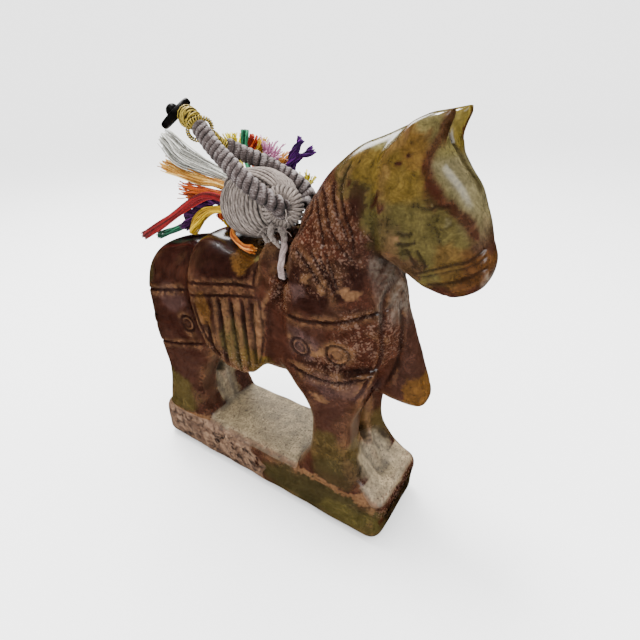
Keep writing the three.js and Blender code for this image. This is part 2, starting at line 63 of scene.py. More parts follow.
# Near strap
# Grey cotton cord hitched tightly round a soft core. Each hitch is a band that leans over the last one, and
# where it crosses itself it stands up as a bead on the strap's upper side. The bead is painted lighter and the
# gaps between the hitches painted dark, as light and shade.
MM = 0.001
NEAR_STRAP = [(11.6, -6.4, 103.1), (12.4, -8.6, 105), (9.4, -11, 107.8), (4, -11, 110.7), (-2.2, -9.5, 113.9),
              (-9.7, -7, 117.2), (-16.2, -4.5, 120.8), (-19.5, -3, 122.6)]
STRAP_RADIUS, STRAP_CORE_DEPTH = 2.4, 0.75
HITCH_PITCH, HITCH_THICKNESS = 2.3, 1.5
BEAD_SPREAD, BEAD_RISE = 0.40, 0.42
ANY_SIDE = (0.31, 0.23, 0.92)


def linear(hex_colour):
    # An sRGB hex colour as the linear colour that a shader takes.
    parts = [int(hex_colour[i:i + 2], 16) / 255 for i in (1, 3, 5)]
    return tuple(c / 12.92 if c <= 0.04045 else ((c + 0.055) / 1.055) ** 2.4 for c in parts) + (1.0,)


def feed(node, inputs):
    # Sets a node's inputs. Each is a value, another node's output, or a node, which stands for its first output.
    for key, value in inputs.items():
        if isinstance(value, bpy.types.Node):
            value = value.outputs[0]
        if isinstance(value, bpy.types.NodeSocket):
            node.id_data.links.new(value, node.inputs[key])
        else:
            node.inputs[key].default_value = value


def add_node(tree, kind, inputs=None, stops=None, **settings):
    # Adds a node. "stops" are a ramp's places and colours.
    node = tree.nodes.new("ShaderNode" + kind)
    for key, value in settings.items():
        setattr(node, key, value)
    if stops:
        ramp = node.color_ramp.elements
        ramp[0].position, ramp[-1].position = stops[0][0], stops[-1][0]
        for place, _ in stops[1:-1]:
            ramp.new(place)
        for stop, (_, colour) in zip(ramp, stops):
            stop.color = colour if isinstance(colour, tuple) else (colour, colour, colour, 1)
    feed(node, inputs or {})
    return node


def new_material(name, settings):
    # A material with a Principled shader, with the settings that are the same all over the surface.
    material = bpy.data.materials.new(name)
    material.use_nodes = True
    shader = material.node_tree.nodes["Principled BSDF"]
    feed(shader, settings)
    return material, material.node_tree, shader


def smooth_curve(points, steps):
    # The smooth curve through rows of numbers, from the second row to the last but one.
    rows = []
    for i in range(1, len(points) - 2):
        p0, p1, p2, p3 = points[i - 1:i + 3]
        t = np.linspace(0, 1, steps, endpoint=i == len(points) - 3)[:, None]
        rows.append(0.5 * (2 * p1 + (p2 - p0) * t + (2 * p0 - 5 * p1 + 4 * p2 - p3) * t ** 2
                           + (3 * p1 - p0 - 3 * p2 + p3) * t ** 3))
    return np.vstack(rows)


def run_along(points):
    # How far along a line each of its points is.
    return np.concatenate([[0], np.cumsum(np.linalg.norm(np.diff(points, axis=0), axis=1))])


def along(points, count):
    # Evenly spaced points on the smooth curve through the given ones, and the curve's length.
    p = np.array(points, float)
    fine = smooth_curve(np.vstack([2 * p[0] - p[1], p, 2 * p[-1] - p[-2]]), 24)
    run = run_along(fine)
    want = np.linspace(0, run[-1], count)
    return np.stack([np.interp(want, run, fine[:, k]) for k in range(fine.shape[1])], 1), run[-1]


def unit(vectors):
    # Vectors at length 1.
    vectors = np.asarray(vectors, float)
    return vectors / np.linalg.norm(vectors, axis=-1, keepdims=True)


def across(path, side):
    # At each point of a path: the way on, and two directions across it, the first as near the given side as it goes.
    way = unit(np.gradient(path, axis=0))
    side = np.array(side, float)
    first = unit(side - way * (way @ side)[:, None])
    return way, first, np.cross(way, first)


def around(first, second, angles):
    # Directions that turn from the first towards the second.
    return np.cos(angles)[:, None] * first + np.sin(angles)[:, None] * second


def grid_faces(rows, columns, closed_rows=False):
    # The quads of a grid of points whose rows are rings.
    faces = []
    for r in range(rows if closed_rows else rows - 1):
        for c in range(columns):
            a, b = r * columns, (r + 1) % rows * columns
            faces.append((a + c, a + (c + 1) % columns, b + (c + 1) % columns, b + c))
    return faces


def end_faces(rows, columns):
    # The two faces that close a grid of rings at its ends.
    return [tuple(range(columns)), tuple(range(rows * columns - 1, (rows - 1) * columns - 1, -1))]


def tube(path, radii, sides, side=ANY_SIDE, closed=False):
    # A closed tube along a path.
    path = np.asarray(path, float)
    way, first, second = across(path, side)
    if closed:
        way = unit(np.roll(path, -1, 0) - np.roll(path, 1, 0))
        first = unit(np.cross(way, np.array(side, float)))
        second = np.cross(way, first)
    angle = np.linspace(0, 2 * np.pi, sides, endpoint=False)[None, :, None]
    reach = np.broadcast_to(np.asarray(radii, float).reshape(-1, 1, 1), (len(path), 1, 1))
    rings = path[:, None] + reach * (np.cos(angle) * first[:, None] + np.sin(angle) * second[:, None])
    faces = grid_faces(len(path), sides, closed)
    verts = rings.reshape(-1, 3)
    if not closed:
        last = len(verts) - sides
        verts = np.vstack([verts, path[:1], path[-1:]])
        for i in range(sides):
            faces.append((len(verts) - 2, (i + 1) % sides, i))
            faces.append((len(verts) - 1, last + i, last + (i + 1) % sides))
    return verts, faces


def gather(parts):
    # Several lots of points and faces as one.
    faces, start = [], 0
    for v, f in parts:
        faces.extend(tuple(i + start for i in face) for face in f)
        start += len(v)
    return np.vstack([v for v, _ in parts]), faces


def block(name, shape):
    # An object from points in millimetres and faces, with its faces turned outwards.
    mesh = bpy.data.meshes.new(name)
    mesh.from_pydata((np.asarray(shape[0]) * MM).tolist(), [], shape[1])
    work = bmesh.new()
    work.from_mesh(mesh)
    bmesh.ops.recalc_face_normals(work, faces=work.faces)
    work.to_mesh(mesh)
    work.free()
    thing = bpy.data.objects.new(name, mesh)
    bpy.context.collection.objects.link(thing)
    return thing


def keep_values(thing, name, values):
    # Gives each point of a piece four values for its material.
    layer = thing.data.color_attributes.new(name, "FLOAT_COLOR", "POINT")
    layer.data.foreach_set("color", np.asarray(values, np.float32).ravel())


def piece(name, shape, tones, material, replaced):
    # A finished piece of cord or yarn.
    thing = block(name, shape)
    keep_values(thing, "tone", tones)
    thing.data.polygons.foreach_set("use_smooth", [True] * len(thing.data.polygons))
    thing.data.materials.append(material)
    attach(thing, "root")
    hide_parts(replaced)
    return thing


def lay_core(parts, tones, shape):
    # Adds a core, painted black as shade, since it only shows between the turns.
    parts.append(shape)
    tones.append(np.zeros((len(shape[0]), 4)))


def hitched(points, ridge, lean):
    # A strap's hitches: rings of cord that lean along it and swell into a bead on the ridge side.
    # A point's tone is (painted light and shade, from 0 between hitches to 1 on a bead, chance, length along the cord,
    # roll round the cord).
    steps, columns, sides = 240, 32, 10
    path, length = along(points, steps)
    way, first, second = across(path, ridge)
    count = round(length / HITCH_PITCH)
    chance = np.random.default_rng(7)
    turn = np.linspace(0, 2 * np.pi, columns, endpoint=False)
    roll = np.linspace(0, 2 * np.pi, sides, endpoint=False)
    bead = np.exp(-(((turn + np.pi) % (2 * np.pi) - np.pi) / BEAD_SPREAD) ** 2)
    parts, tones = [], []
    for k in range(count):
        i = int((k + 0.5) / count * (steps - 1))
        tilt = lean * (1 + chance.uniform(-0.15, 0.15))
        shift = tilt * HITCH_PITCH * np.sin(turn + 0.45) + 0.30 * HITCH_PITCH * bead + chance.uniform(-0.1, 0.1)
        reach = STRAP_RADIUS - HITCH_THICKNESS / 2 - 0.05 + BEAD_RISE * bead + chance.uniform(-0.08, 0.06)
        high = HITCH_THICKNESS / 2 * (1 + 0.12 * bead)
        wide = HITCH_PITCH * (0.53 - 0.04 * bead)
        ring = (path[i] + around(first[i], second[i], turn)[:, None] * (
            reach[:, None] + high[:, None] * np.cos(roll))[..., None]
            + way[i] * (shift[:, None] + wide[:, None] * np.sin(roll))[..., None])
        parts.append((ring.reshape(-1, 3), grid_faces(columns, sides, closed_rows=True)))
        # Painted light on the beads and painted shade between the hitches.
        painted_light = (np.clip(0.5 + 0.5 * np.cos(roll), 0, 1) ** 2)[None] * (0.55 + 0.45 * bead)[:, None]
        tones.append(np.stack([painted_light, np.full_like(painted_light, chance.random()),
                               np.repeat(turn[:, None] / (2 * np.pi), sides, 1),
                               np.repeat(roll[None] / (2 * np.pi), columns, 0)], -1).reshape(-1, 4))
    lay_core(parts, tones, tube(along(points, 60)[0], STRAP_RADIUS - STRAP_CORE_DEPTH, 16))
    return gather(parts), np.vstack(tones), along(points, 18)[0] * MM, length * MM


def cord_material(name, dark, mid, light):
    # Soft spun cotton: matt, fine strands that run round each turn of cord, and painted shade deep between the turns.
    # The real strands are about 0.15 mm across. They are drawn at 0.3 mm so that they show.
    material, tree, shader = new_material(name, {"Roughness": 0.88, "Sheen Weight": 0.05, "Sheen Roughness": 0.5,
                                                 "Specular IOR Level": 0.1})
    place = add_node(tree, "TexCoord").outputs["Object"]
    tone = add_node(tree, "Attribute", attribute_name="tone")
    channels = add_node(tree, "SeparateColor", {0: tone})
    strands_along = add_node(tree, "Math", {0: channels.outputs[2], 1: 130.0}, operation="MULTIPLY")
    strands_round = add_node(tree, "Math", {0: tone.outputs["Alpha"], 1: 25.0}, operation="MULTIPLY")
    both = add_node(tree, "Math", {0: strands_along, 1: strands_round}, operation="ADD")
    strands = add_node(tree, "Math", {0: both}, operation="SINE")
    fuzz = add_node(tree, "TexNoise", {"Vector": place, "Scale": 1500.0, "Detail": 4.0, "Roughness": 0.65})
    blotch = add_node(tree, "TexNoise", {"Vector": place, "Scale": 330.0, "Detail": 2.0})
    shade = -0.36
    for source, share in ((blotch, 0.5), (channels, 0.55), (fuzz, 0.55), (strands, 0.07)):
        shade = add_node(tree, "Math", {0: source, 1: share, 2: shade}, operation="MULTIPLY_ADD")
    colour = add_node(tree, "ValToRGB", {0: shade}, [(0.15, linear(dark)), (0.45, linear(mid)), (0.8, linear(light))])
    bump = add_node(tree, "Bump", {"Strength": 0.5, "Distance": 0.00015, "Height": shade})
    feed(shader, {"Base Color": colour, "Normal": bump})
    return material


strap_cotton = cord_material("strap_cotton", "#0d0a09", "#3d3432", "#8f8785")
shape, tones, near_route, near_length = hitched(NEAR_STRAP, (0.65, 0.25, 0.72), 0.34)
near_strap = piece("near_strap", shape, tones, strap_cotton, "strap_near")

# Far strap
# The same work in the same cord. It leaves the ball's far side and ends in the gold loop.
FAR_STRAP = [(10.8, 5.4, 101.4), (10.8, 7.4, 104.2), (6.4, 8.2, 107.3), (-0.4, 9, 109.6), (-6.3, 8, 112.2),
             (-11.9, 7, 114), (-16.6, 5, 116.2)]

shape, tones, far_route, far_length = hitched(FAR_STRAP, (0.45, -0.05, 0.88), 0.12)
far_strap = piece("far_strap", shape, tones, strap_cotton, "strap_far")

# Carrying cord
# Three plies of the same cotton go through the hole at the withers and back up into the ball on both sides.
CORD_HALF = [(10.1, -4.6, 98.3), (12.9, -7.6, 97.1), (15.1, -10.4, 95.3), (16, -12.9, 92.7), (16.5, -14.3, 90.1),
             (16, -13, 87.6), (15.5, -9, 87.5)]
CARRYING_CORD = CORD_HALF + [(x, -y, z) for x, y, z in reversed(CORD_HALF)]
PLIED_RADIUS, PLIES = 0.85, 3


def with_radii(points, radii):
    # Points with the radius there as a fourth number.
    return [tuple(point) + (radius,) for point, radius in zip(points, radii)]


def plied(points, radii, lay, count, seed=1):
    # Plies twisted round one another along a path. "lay" is the length of one full twist.
    sides = 8
    path, length = along(with_radii(points, radii), count)
    path, reach = path[:, :3], path[:, 3]
    _, first, second = across(path, ANY_SIDE)
    chance = np.random.default_rng(seed)
    parts, tones = [], []
    for k in range(PLIES):
        turn = np.linspace(0, length / lay * 2 * np.pi, count) + 2 * np.pi * k / PLIES
        middle = path + (reach * 0.5)[:, None] * around(first, second, turn)
        parts.append(tube(middle, reach * 0.58, sides))
        tone = np.zeros((count, sides, 4))
        tone[..., 0] = 0.6
        tone[..., 1] = chance.random()
        tone[..., 2] = np.linspace(0, length / 12, count)[:, None]
        tone[..., 3] = np.arange(sides) / sides
        tones.append(np.vstack([tone.reshape(-1, 4), tone[0, :1], tone[-1, :1]]))
    return gather(parts), np.vstack(tones)


soft_cotton = cord_material("soft_cotton", "#2a2423", "#6a5c59", "#a08f8b")
shape, tones = plied(CARRYING_CORD, [PLIED_RADIUS] * len(CARRYING_CORD), 11, 150)
piece("carrying_cord_plies", shape, tones, soft_cotton, "carrying_cord")

# Horse and plinth
# One block of brown and olive jade, sawn, ground to shape and polished by hand, with the harness cut into it.
# Each body is a skin through its sections. A voxel remesh joins them and softens every edge as polishing does,
# and then the carved lines are pushed into the surface.
PLINTH_LENGTH, PLINTH_WIDTH, PLINTH_HEIGHT, PLINTH_CORNER, PLINTH_EDGE = 100, 30, 18.5, 4.4, 1.2
PLINTH_LEAN, FRONT_LEAN = 1.8, 1.4
SKIRT_HALF, SHOULDER_HALF, RUMP_HALF, BARREL_HALF, CHEEK_HALF = 15.6, 14.6, 14.4, 13.4, 9.8
JOINING_GRAIN, SURFACE_GRAIN = 0.7, 0.8


def carved(stations, square=2.6, middle=0.0, sides=44, steps=9):
    # A closed skin through stations ((x, z), (x, z), half width, flare): rounded-off squares in the side view's plane.
    p = np.array([[*a, *b, half, flare[0] if flare else 0.0] for a, b, half, *flare in stations])
    rows = smooth_curve(np.vstack([p[0], p, p[-1]]), steps)
    ax, az, bx, bz, half, flare = (rows[:, k:k + 1] for k in range(6))
    angle = np.linspace(0, 2 * np.pi, sides, endpoint=False)
    u = np.sign(np.cos(angle)) * np.abs(np.cos(angle)) ** (2 / square)
    v = np.sign(np.sin(angle)) * np.abs(np.sin(angle)) ** (2 / square)
    verts = np.stack([(ax + bx) / 2 + u * (ax - bx) / 2, middle + v * half * (1 + flare * u),
                      (az + bz) / 2 + u * (az - bz) / 2], -1).reshape(-1, 3)
    return verts, grid_faces(len(ax), sides) + end_faces(len(ax), sides)


def prism(outline, start, stop):
    # A closed bar from one place to another. "outline" gives a corner's point for each place.
    verts = np.array([corner for place in (start, stop) for corner in outline(place)])
    count = len(verts) // 2
    return verts, grid_faces(2, count) + end_faces(2, count)


def choose(*things):
    # Makes these the only selected objects, and the first of them active.
    bpy.ops.object.select_all(action="DESELECT")
    for thing in things:
        thing.select_set(True)
    bpy.context.view_layer.objects.active = things[0]


def pick(thing, kind, test):
    # Opens a thing for editing with only those of its edges or faces selected that pass the test.
    bpy.ops.object.mode_set(mode="EDIT")
    bpy.ops.mesh.select_mode(type=kind)
    bpy.ops.mesh.select_all(action="DESELECT")
    bpy.ops.object.mode_set(mode="OBJECT")
    for part in thing.data.edges if kind == "EDGE" else thing.data.polygons:
        part.select = test(part)
    bpy.ops.object.mode_set(mode="EDIT")


def climb(thing, edge):
    # How much an edge climbs from one end to the other.
    low, high = (thing.data.vertices[i].co for i in edge.vertices)
    return abs(low.z - high.z)


def modified(thing, kind, **settings):
    # Adds a modifier to a thing and applies it.
    modifier = thing.modifiers.new(kind.lower(), kind)
    for key, value in settings.items():
        setattr(modifier, key, value)
    choose(thing)
    bpy.ops.object.modifier_apply(modifier=modifier.name)


def cut(thing, shape, operation, solver):
    # Cuts a thing with a shape that doesn't stay.
    cutter = block("cutter", shape)
    modified(thing, "BOOLEAN", operation=operation, object=cutter, solver=solver)
    bpy.data.objects.remove(cutter)


bpy.ops.object.select_all(action="DESELECT")
bpy.ops.mesh.primitive_cube_add(size=1, location=(0, 0, PLINTH_HEIGHT / 2 * MM),
                                scale=(PLINTH_LENGTH * MM, PLINTH_WIDTH * MM, PLINTH_HEIGHT * MM))
plinth = bpy.context.object
bpy.ops.object.transform_apply(location=True, rotation=True, scale=True)
for vertex in plinth.data.vertices:
    if vertex.co.x < 0:
        vertex.co.x -= PLINTH_LEAN * (2 - vertex.co.z / (PLINTH_HEIGHT * MM)) * MM
    else:
        vertex.co.x -= FRONT_LEAN * (1 - vertex.co.z / (PLINTH_HEIGHT * MM)) * MM
# Every edge is rounded first, and the level ones are then softened once more.
pick(plinth, "EDGE", lambda edge: True)
bpy.ops.mesh.bevel(offset=PLINTH_CORNER * MM, segments=8)
pick(plinth, "EDGE", lambda edge: climb(plinth, edge) < 0.1 * MM)
bpy.ops.mesh.bevel(offset=PLINTH_EDGE * MM, segments=4)
bpy.ops.object.mode_set(mode="OBJECT")

bodies = [
    # Rump.
    carved([((-50.8, 66), (-50.4, 56), 3.5), ((-50, 74), (-49.4, 47), 9), ((-47.7, 80.5), (-47.6, 40), 12),
            ((-42.5, 84.8), (-43.6, 37), RUMP_HALF - 0.4), ((-34, 87), (-36, 40), RUMP_HALF),
            ((-24, 88.2), (-25, 47), RUMP_HALF - 0.4), ((-12, 87), (-13, 52), BARREL_HALF)], 3),
    # Barrel.
    carved([((-30, 86), (-30, 54), BARREL_HALF - 1), ((-4, 87), (-4, 51.4), BARREL_HALF),
            ((22, 90), (22, 53), BARREL_HALF)], 3.6),
    # Shoulders and breast.
    carved([((15.8, 96), (15.8, 60), SHOULDER_HALF - 2.2), ((17, 99), (17, 57.5), SHOULDER_HALF - 0.2),
            ((24, 102.6), (24, 54.4), SHOULDER_HALF), ((32.4, 102), (32.4, 53.8), SHOULDER_HALF - 0.2),
            ((38.4, 97), (37.6, 55.4), SHOULDER_HALF - 2.4), ((42.6, 91), (41.8, 57.4), SHOULDER_HALF - 5.8),
            ((45.4, 85), (45, 63), SHOULDER_HALF - 9.4)], 2.8),
    # The breast's keel.
    carved([((40.6, 97.5), (30, 97), 4.4), ((44.4, 88.5), (34, 86), 3.4), ((47.8, 78), (36, 74), 3.6),
            ((51.4, 67.5), (36, 63), 4.2), ((54, 59.4), (38.6, 56), 4.8), ((55.2, 55), (41.6, 53), 4.6),
            ((54, 52), (47, 51.4), 2.6)], 4),
    # Neck.
    carved([((14.9, 93), (46, 72), SHOULDER_HALF - 1.8), ((16.2, 101.6), (44.5, 83), SHOULDER_HALF - 3, -0.1),
            ((19.6, 107.4), (42.4, 89), SHOULDER_HALF - 4, -0.12), ((24.8, 114), (40.8, 95), SHOULDER_HALF - 5, -0.12),
            ((31.2, 119.2), (41.6, 99), SHOULDER_HALF - 5.6, -0.12),
            ((37.6, 122.2), (44, 103), SHOULDER_HALF - 6, -0.12),
            ((44.8, 125), (49, 108), SHOULDER_HALF - 6, -0.12),
            ((51.4, 126.2), (55, 118), SHOULDER_HALF - 7, -0.12)]),
    # Head.
    carved([((51, 126.4), (40, 119), CHEEK_HALF - 1.2, -0.12), ((53.6, 121.6), (38.6, 113.6), CHEEK_HALF, -0.1),
            ((56.6, 117.2), (38.4, 105), CHEEK_HALF, -0.14), ((60.2, 112.8), (40, 97.2), CHEEK_HALF - 0.2, -0.2),
            ((62.8, 107.4), (43.8, 94.2), CHEEK_HALF - 1.2, -0.2),
            ((64.7, 101.8), (47.8, 91.8), CHEEK_HALF - 2.2, -0.16),
            ((66, 97), (51, 89.8), CHEEK_HALF - 2.6, -0.06), ((65.2, 92.2), (54, 89), CHEEK_HALF - 3.6),
            ((61.8, 89.2), (56.6, 87.8), CHEEK_HALF - 6)], 3.2),
    # Web between the forelegs.
    carved([((36, 58), (23, 58), 4), ((34, 40), (25, 40), 4), ((43, 17), (20, 17), 5)]),
    # Web between the hind legs.
    carved([((-20, 54), (-45, 54), 4), ((-28.6, 40), (-45, 40), 4), ((-26, 17), (-48, 17), 5)]),
]
for flank in (-1, 1):
    bodies += [
        # Ear.
        carved([((54, 115), (38, 113), 4.1), ((53.2, 119.4), (40, 119), 4.1), ((53.7, 123.4), (44, 123), 4),
                ((54.7, 126.4), (46.6, 125.6), 3.6), ((55.3, 128.2), (50.4, 127.5), 2.6)], 2.8, flank * 5.6),
        # Foreleg.
        carved([((43, 64), (9.4, 61), 6.2), ((40.4, 53.6), (16.2, 53), 6.2), ((37.6, 46), (21.8, 46), 6),
                ((36.2, 38), (22.8, 38), 5.8), ((36.6, 30), (21.8, 30), 6), ((41, 22.5), (18.5, 23), 6.4),
                ((48, 17), (15, 17), 6.8)], 3.6, flank * 8.2),
        # Hind leg.
        carved([((-17, 58), (-49.4, 58), 6), ((-18.4, 50), (-48.4, 50), 6), ((-23.4, 42), (-46.8, 42), 5.8),
                ((-27, 34), (-45.8, 34), 5.8), ((-27.4, 26), (-47.2, 26), 6.2), ((-24, 17), (-50, 17), 6.8)],
               3.6, flank * 8.2),
    ]
stone = block("jade_horse", gather(bodies))

# The saddle's skirt and its front roll are wider bodies, cut to their outlines in the side view.
SKIRT_OUTLINE = [(-21.8, 100), (-22.3, 74.5), (-21.6, 67.6), (-19.9, 61.2), (-17.3, 56), (-13.8, 52.2), (-9.8, 50.4),
                 (-5.4, 50), (-1.2, 50.4), (2.8, 52), (6.2, 55.8), (8.4, 61.6), (9.2, 69), (9.6, 100)]
ROLL_OUTLINE = [(7.8, 110), (7, 90.5), (8, 75.2), (10.4, 78.1), (12.4, 81.5), (13.9, 85.3), (14.8, 89.7), (15.2, 110)]
SIDE_CUT_REACH = 30
seat = block("seat", carved([
    ((-23, 89.4), (-23, 40), SKIRT_HALF - 0.8), ((-18.5, 92.2), (-18.5, 40), SKIRT_HALF),
    ((-12, 91.6), (-12, 40), SKIRT_HALF), ((-3, 89.6), (-3, 40), SKIRT_HALF), ((4, 91), (4, 40), SKIRT_HALF),
    ((10.4, 95), (10.4, 40), SKIRT_HALF - 0.6)], 3.4))
front_roll = block("front_roll", carved([
    ((6, 96), (6, 60), SHOULDER_HALF + 0.2), ((11, 97.2), (11, 60), SHOULDER_HALF + 0.2),
    ((16, 95.6), (16, 60), SHOULDER_HALF - 0.4)], 2.8))
for body, outline in ((seat, SKIRT_OUTLINE), (front_roll, ROLL_OUTLINE)):
    plate = prism(lambda y: [(x, y, z) for x, z in outline], -SIDE_CUT_REACH, SIDE_CUT_REACH)
    cut(body, plate, "INTERSECT", "EXACT")
choose(stone, plinth, seat, front_roll)
bpy.ops.object.join()
modified(stone, "REMESH", mode="VOXEL", voxel_size=JOINING_GRAIN * MM)

# What is cut away: the groove between the ears, the slots between the legs, the hole and the cord's channel.
GROOVE_REACH = 8
EAR_GROOVE = [((45.4, 125.4), (-0.4, 0.9), 1.0), ((50.4, 123), (0.1, 1.0), 3.4), ((51, 120), (0.75, 0.65), 3),
              ((54.4, 117), (0.7, 0.7), 2), ((58.6, 114.2), (0.7, 0.7), 1.0)]
LEG_SLOTS = ((8, 60, 31.3, 45.7), (-60, -14, 34.3, 43.7))
SLOT_HALF, SLOT_SIDES = 2.3, 28
HOLE_PLACE, HOLE_RADIUS, CHANNEL_RADIUS = (15.6, 87.3), 2.1, 1.5
groove = np.array([point for (x, z), (dx, dz), half in EAR_GROOVE for point in
                   ((x, 0, z), (x + dx * GROOVE_REACH, half, z + dz * GROOVE_REACH),
                    (x + dx * GROOVE_REACH, -half, z + dz * GROOVE_REACH))])
cuts = [(groove, grid_faces(len(EAR_GROOVE), 3) + end_faces(len(EAR_GROOVE), 3))]
for start, stop, low, high in LEG_SLOTS:
    ring = [(SLOT_HALF * math.cos(a), (high if a < math.pi else low) + SLOT_HALF * math.sin(a))
            for a in np.linspace(0.01, 2 * math.pi + 0.01, SLOT_SIDES, endpoint=False)]
    cuts.append(prism(lambda x: [(x, y, z) for y, z in ring], start, stop))
cuts.append(tube(np.array([(HOLE_PLACE[0], y, HOLE_PLACE[1]) for y in (-30, -10, 10, 30)]), HOLE_RADIUS, 28))
cuts.append(tube(along(CARRYING_CORD, 90)[0], CHANNEL_RADIUS, 20))
for shape in cuts:
    cut(stone, shape, "DIFFERENCE", "MANIFOLD")
modified(stone, "REMESH", mode="VOXEL", voxel_size=SURFACE_GRAIN * MM)
modified(stone, "SMOOTH", factor=0.5, iterations=3)

# Carved lines as (points in the side view, width, depth). Each is cut into both flanks.
GROOVES = [
    # The saddle's bands.
    ([(-22.9, 77.7), (-20.4, 78.2), (-9, 80.3), (0.2, 82), (7.7, 82.9)], 0.9, 0.45),
    ([(-22.7, 73.6), (-21, 73.8), (-8.9, 76.7), (-0.4, 78.6), (7.4, 80)], 0.9, 0.45),
    # The rump's bands.
    ([(-53.6, 67.2), (-45.2, 69.5), (-37.9, 71.2), (-30.2, 73.1), (-23.3, 74.6)], 1.0, 0.5),
    ([(-52.3, 45.9), (-43.7, 48.2), (-31.2, 51.5), (-19.7, 54.8)], 1.0, 0.5),
    # The breast's bands.
    ([(15.5, 77.9), (17.4, 77.4), (22.2, 76.9), (32.7, 78.9), (42.1, 81.8), (45, 82.8)], 1.0, 0.5),
    ([(15.5, 61.2), (19.8, 59.9), (24.6, 59), (32.5, 59.6), (39.6, 62.6), (43.4, 64)], 1.1, 0.55),
    # The keel's edges.
    ([(43.5, 89.5), (42.9, 84), (43.5, 77.4), (43.1, 68.2), (40.7, 59.4), (38.5, 55.5)], 1.0, 0.4),
    ([(45.9, 85.8), (46.9, 75.1), (46.5, 65.5), (43.5, 57.3)], 1.2, 0.4),
    # The skirt's seam and the front roll's edges.
    ([(-19.8, 71), (-18.5, 64.8), (-15.3, 58.5), (-11.4, 54.4)], 0.9, 0.45),
    ([(6.4, 91.4), (5.6, 87), (6.2, 82.6)], 1.0, 0.4),
    ([(8.1, 79.7), (8.5, 74.4), (8.6, 68.6), (6.8, 59.2), (3.5, 53.2)], 0.9, 0.4),
    # The mane.
    ([(31.1, 104.5), (33.5, 101.3), (34.8, 98.3)], 0.6, 0.32),
    ([(32.9, 117), (31.4, 114), (31.2, 110.6), (33.2, 104.8), (35.1, 101.5), (35.9, 96.3)], 0.8, 0.45),
    ([(28.8, 112.5), (28.8, 110.2), (30, 107.2), (31.1, 104.5)], 0.9, 0.5),
    ([(29, 101.5), (32.2, 98.1), (36.1, 95)], 0.6, 0.35),
    ([(28.4, 96.8), (31.2, 92.6), (34.8, 85.3)], 0.6, 0.35),
    ([(27, 95.9), (30.7, 91.1), (34.2, 85.8)], 0.6, 0.35),
    ([(23.8, 96.5), (28.1, 92.8), (31.8, 88.5), (34.2, 85.3)], 0.7, 0.4),
    ([(19.4, 95.6), (22.7, 94), (26.2, 90.9), (30.5, 87.5)], 0.7, 0.4),
    ([(22.7, 109.3), (21.4, 107.2), (21.7, 104.5), (18.2, 98.1)], 0.8, 0.4),
    ([(25.3, 110.2), (26.6, 107.9), (29, 101.5)], 0.8, 0.45),
    ([(22.9, 108.2), (24.9, 104.2), (28.1, 97)], 0.8, 0.45),
    # The brow and the eye.
    ([(48.6, 109.8), (50.6, 109.7), (52.5, 109.1), (54, 109.9), (55.8, 110), (57.2, 109.9)], 0.8, 0.3),
    ([(52.6, 106.9), (53.4, 105.9), (55.1, 105.2), (56.8, 105.8), (57.8, 107.1)], 0.8, 0.18),
    ([(52.6, 106.9), (53.8, 108), (55.9, 108.2), (57.8, 107.1)], 0.7, 0.16),
    # The cheek.
    ([(46.3, 103.6), (48.2, 103.4), (50, 103.9)], 0.8, 0.35),
    ([(46.5, 101.2), (48.8, 101.2), (50.9, 102)], 0.8, 0.35),
    ([(48.6, 100.4), (49.9, 98), (51.2, 95.8)], 0.9, 0.4),
    ([(50.8, 100.3), (52, 98.2), (53.3, 96)], 0.9, 0.4),
    ([(55, 104.2), (56.1, 101)], 0.7, 0.2),
    # The nose band, the mouth and the chin.
    ([(50.5, 94.2), (52.3, 94.8), (57.7, 97.1), (61.6, 98.7), (64.2, 101.2), (65.7, 103.8)], 0.8, 0.4),
    ([(51.3, 93.3), (54.2, 94.3), (59, 96.3), (63.1, 98.1), (66.2, 101.3)], 0.7, 0.3),
    ([(52.5, 91.3), (55.3, 92.1), (59.5, 93.5), (63.1, 95.7), (66.8, 98.3)], 0.9, 0.45),
    ([(54.7, 91.6), (56.3, 89.9), (57.5, 88)], 0.7, 0.3),
]
FLUTES = [((-15.1, 66.3), (-13.9, 55)), ((-8.3, 75.5), (-8.5, 52.9)), ((-3.1, 76.6), (-2.9, 52.3)),
          ((1.5, 77.5), (1.5, 53.5)), ((5.1, 78.4), (4.6, 54.9))]
FLUTE_WIDTH, FLUTE_DEPTH = 2.3, 0.95
ROUNDELS = [(-26.9, 61, 2.9), (-50.2, 56.3, 3.2), (21.1, 67.6, 3.0), (33.2, 68.6, 3.2)]
ROUNDEL_DEPTH, INNER_RING_DEPTH = 0.5, 0.3
EYE, EYE_REACH, EYE_RISE = (55.3, 106.7), (2.1, 1.1), 0.3
MIDDLE_BAND = 2.5


def from_line(flat, line):
    # How far each point of the side view is from a line, and how far along the line that is, from 0 to 1.
    line = np.array(line, float)
    runs = run_along(line)
    gap, place = np.full(len(flat), 1e9), np.zeros(len(flat))
    for a, b, start in zip(line[:-1], line[1:], runs[:-1]):
        t = np.clip(((flat - a) @ (b - a)) / ((b - a) @ (b - a)), 0, 1)
        new = np.linalg.norm(flat - (a + t[:, None] * (b - a)), axis=1)
        nearer = new < gap
        gap[nearer] = new[nearer]
        place[nearer] = (start + t * np.linalg.norm(b - a))[nearer] / runs[-1]
    return gap, place


def near_line(flat, line):
    # Which points of the side view lie in a line's own box, or just beside it.
    inside = np.abs(flat - (line.min(0) + line.max(0)) / 2) < (line.max(0) - line.min(0)) / 2 + 1.6
    return np.flatnonzero(inside.all(1))


def cut_profile(gap, half_width, place, taper, end_depth):
    # How deep a cut is, from 0 to 1: round across the line, and shallower towards both its ends.
    return (np.clip(1 - (gap / half_width) ** 2, 0, 1)
            * np.clip(np.minimum(place, 1 - place) * taper + end_depth, 0, 1))


def surface(thing):
    # A mesh's points in millimetres and its normals.
    out = []
    for what in ("co", "normal"):
        values = np.zeros(len(thing.data.vertices) * 3, np.float32)
        thing.data.vertices.foreach_get(what, values)
        out.append(values.reshape(-1, 3).astype(float))
    return out[0] / MM, out[1]


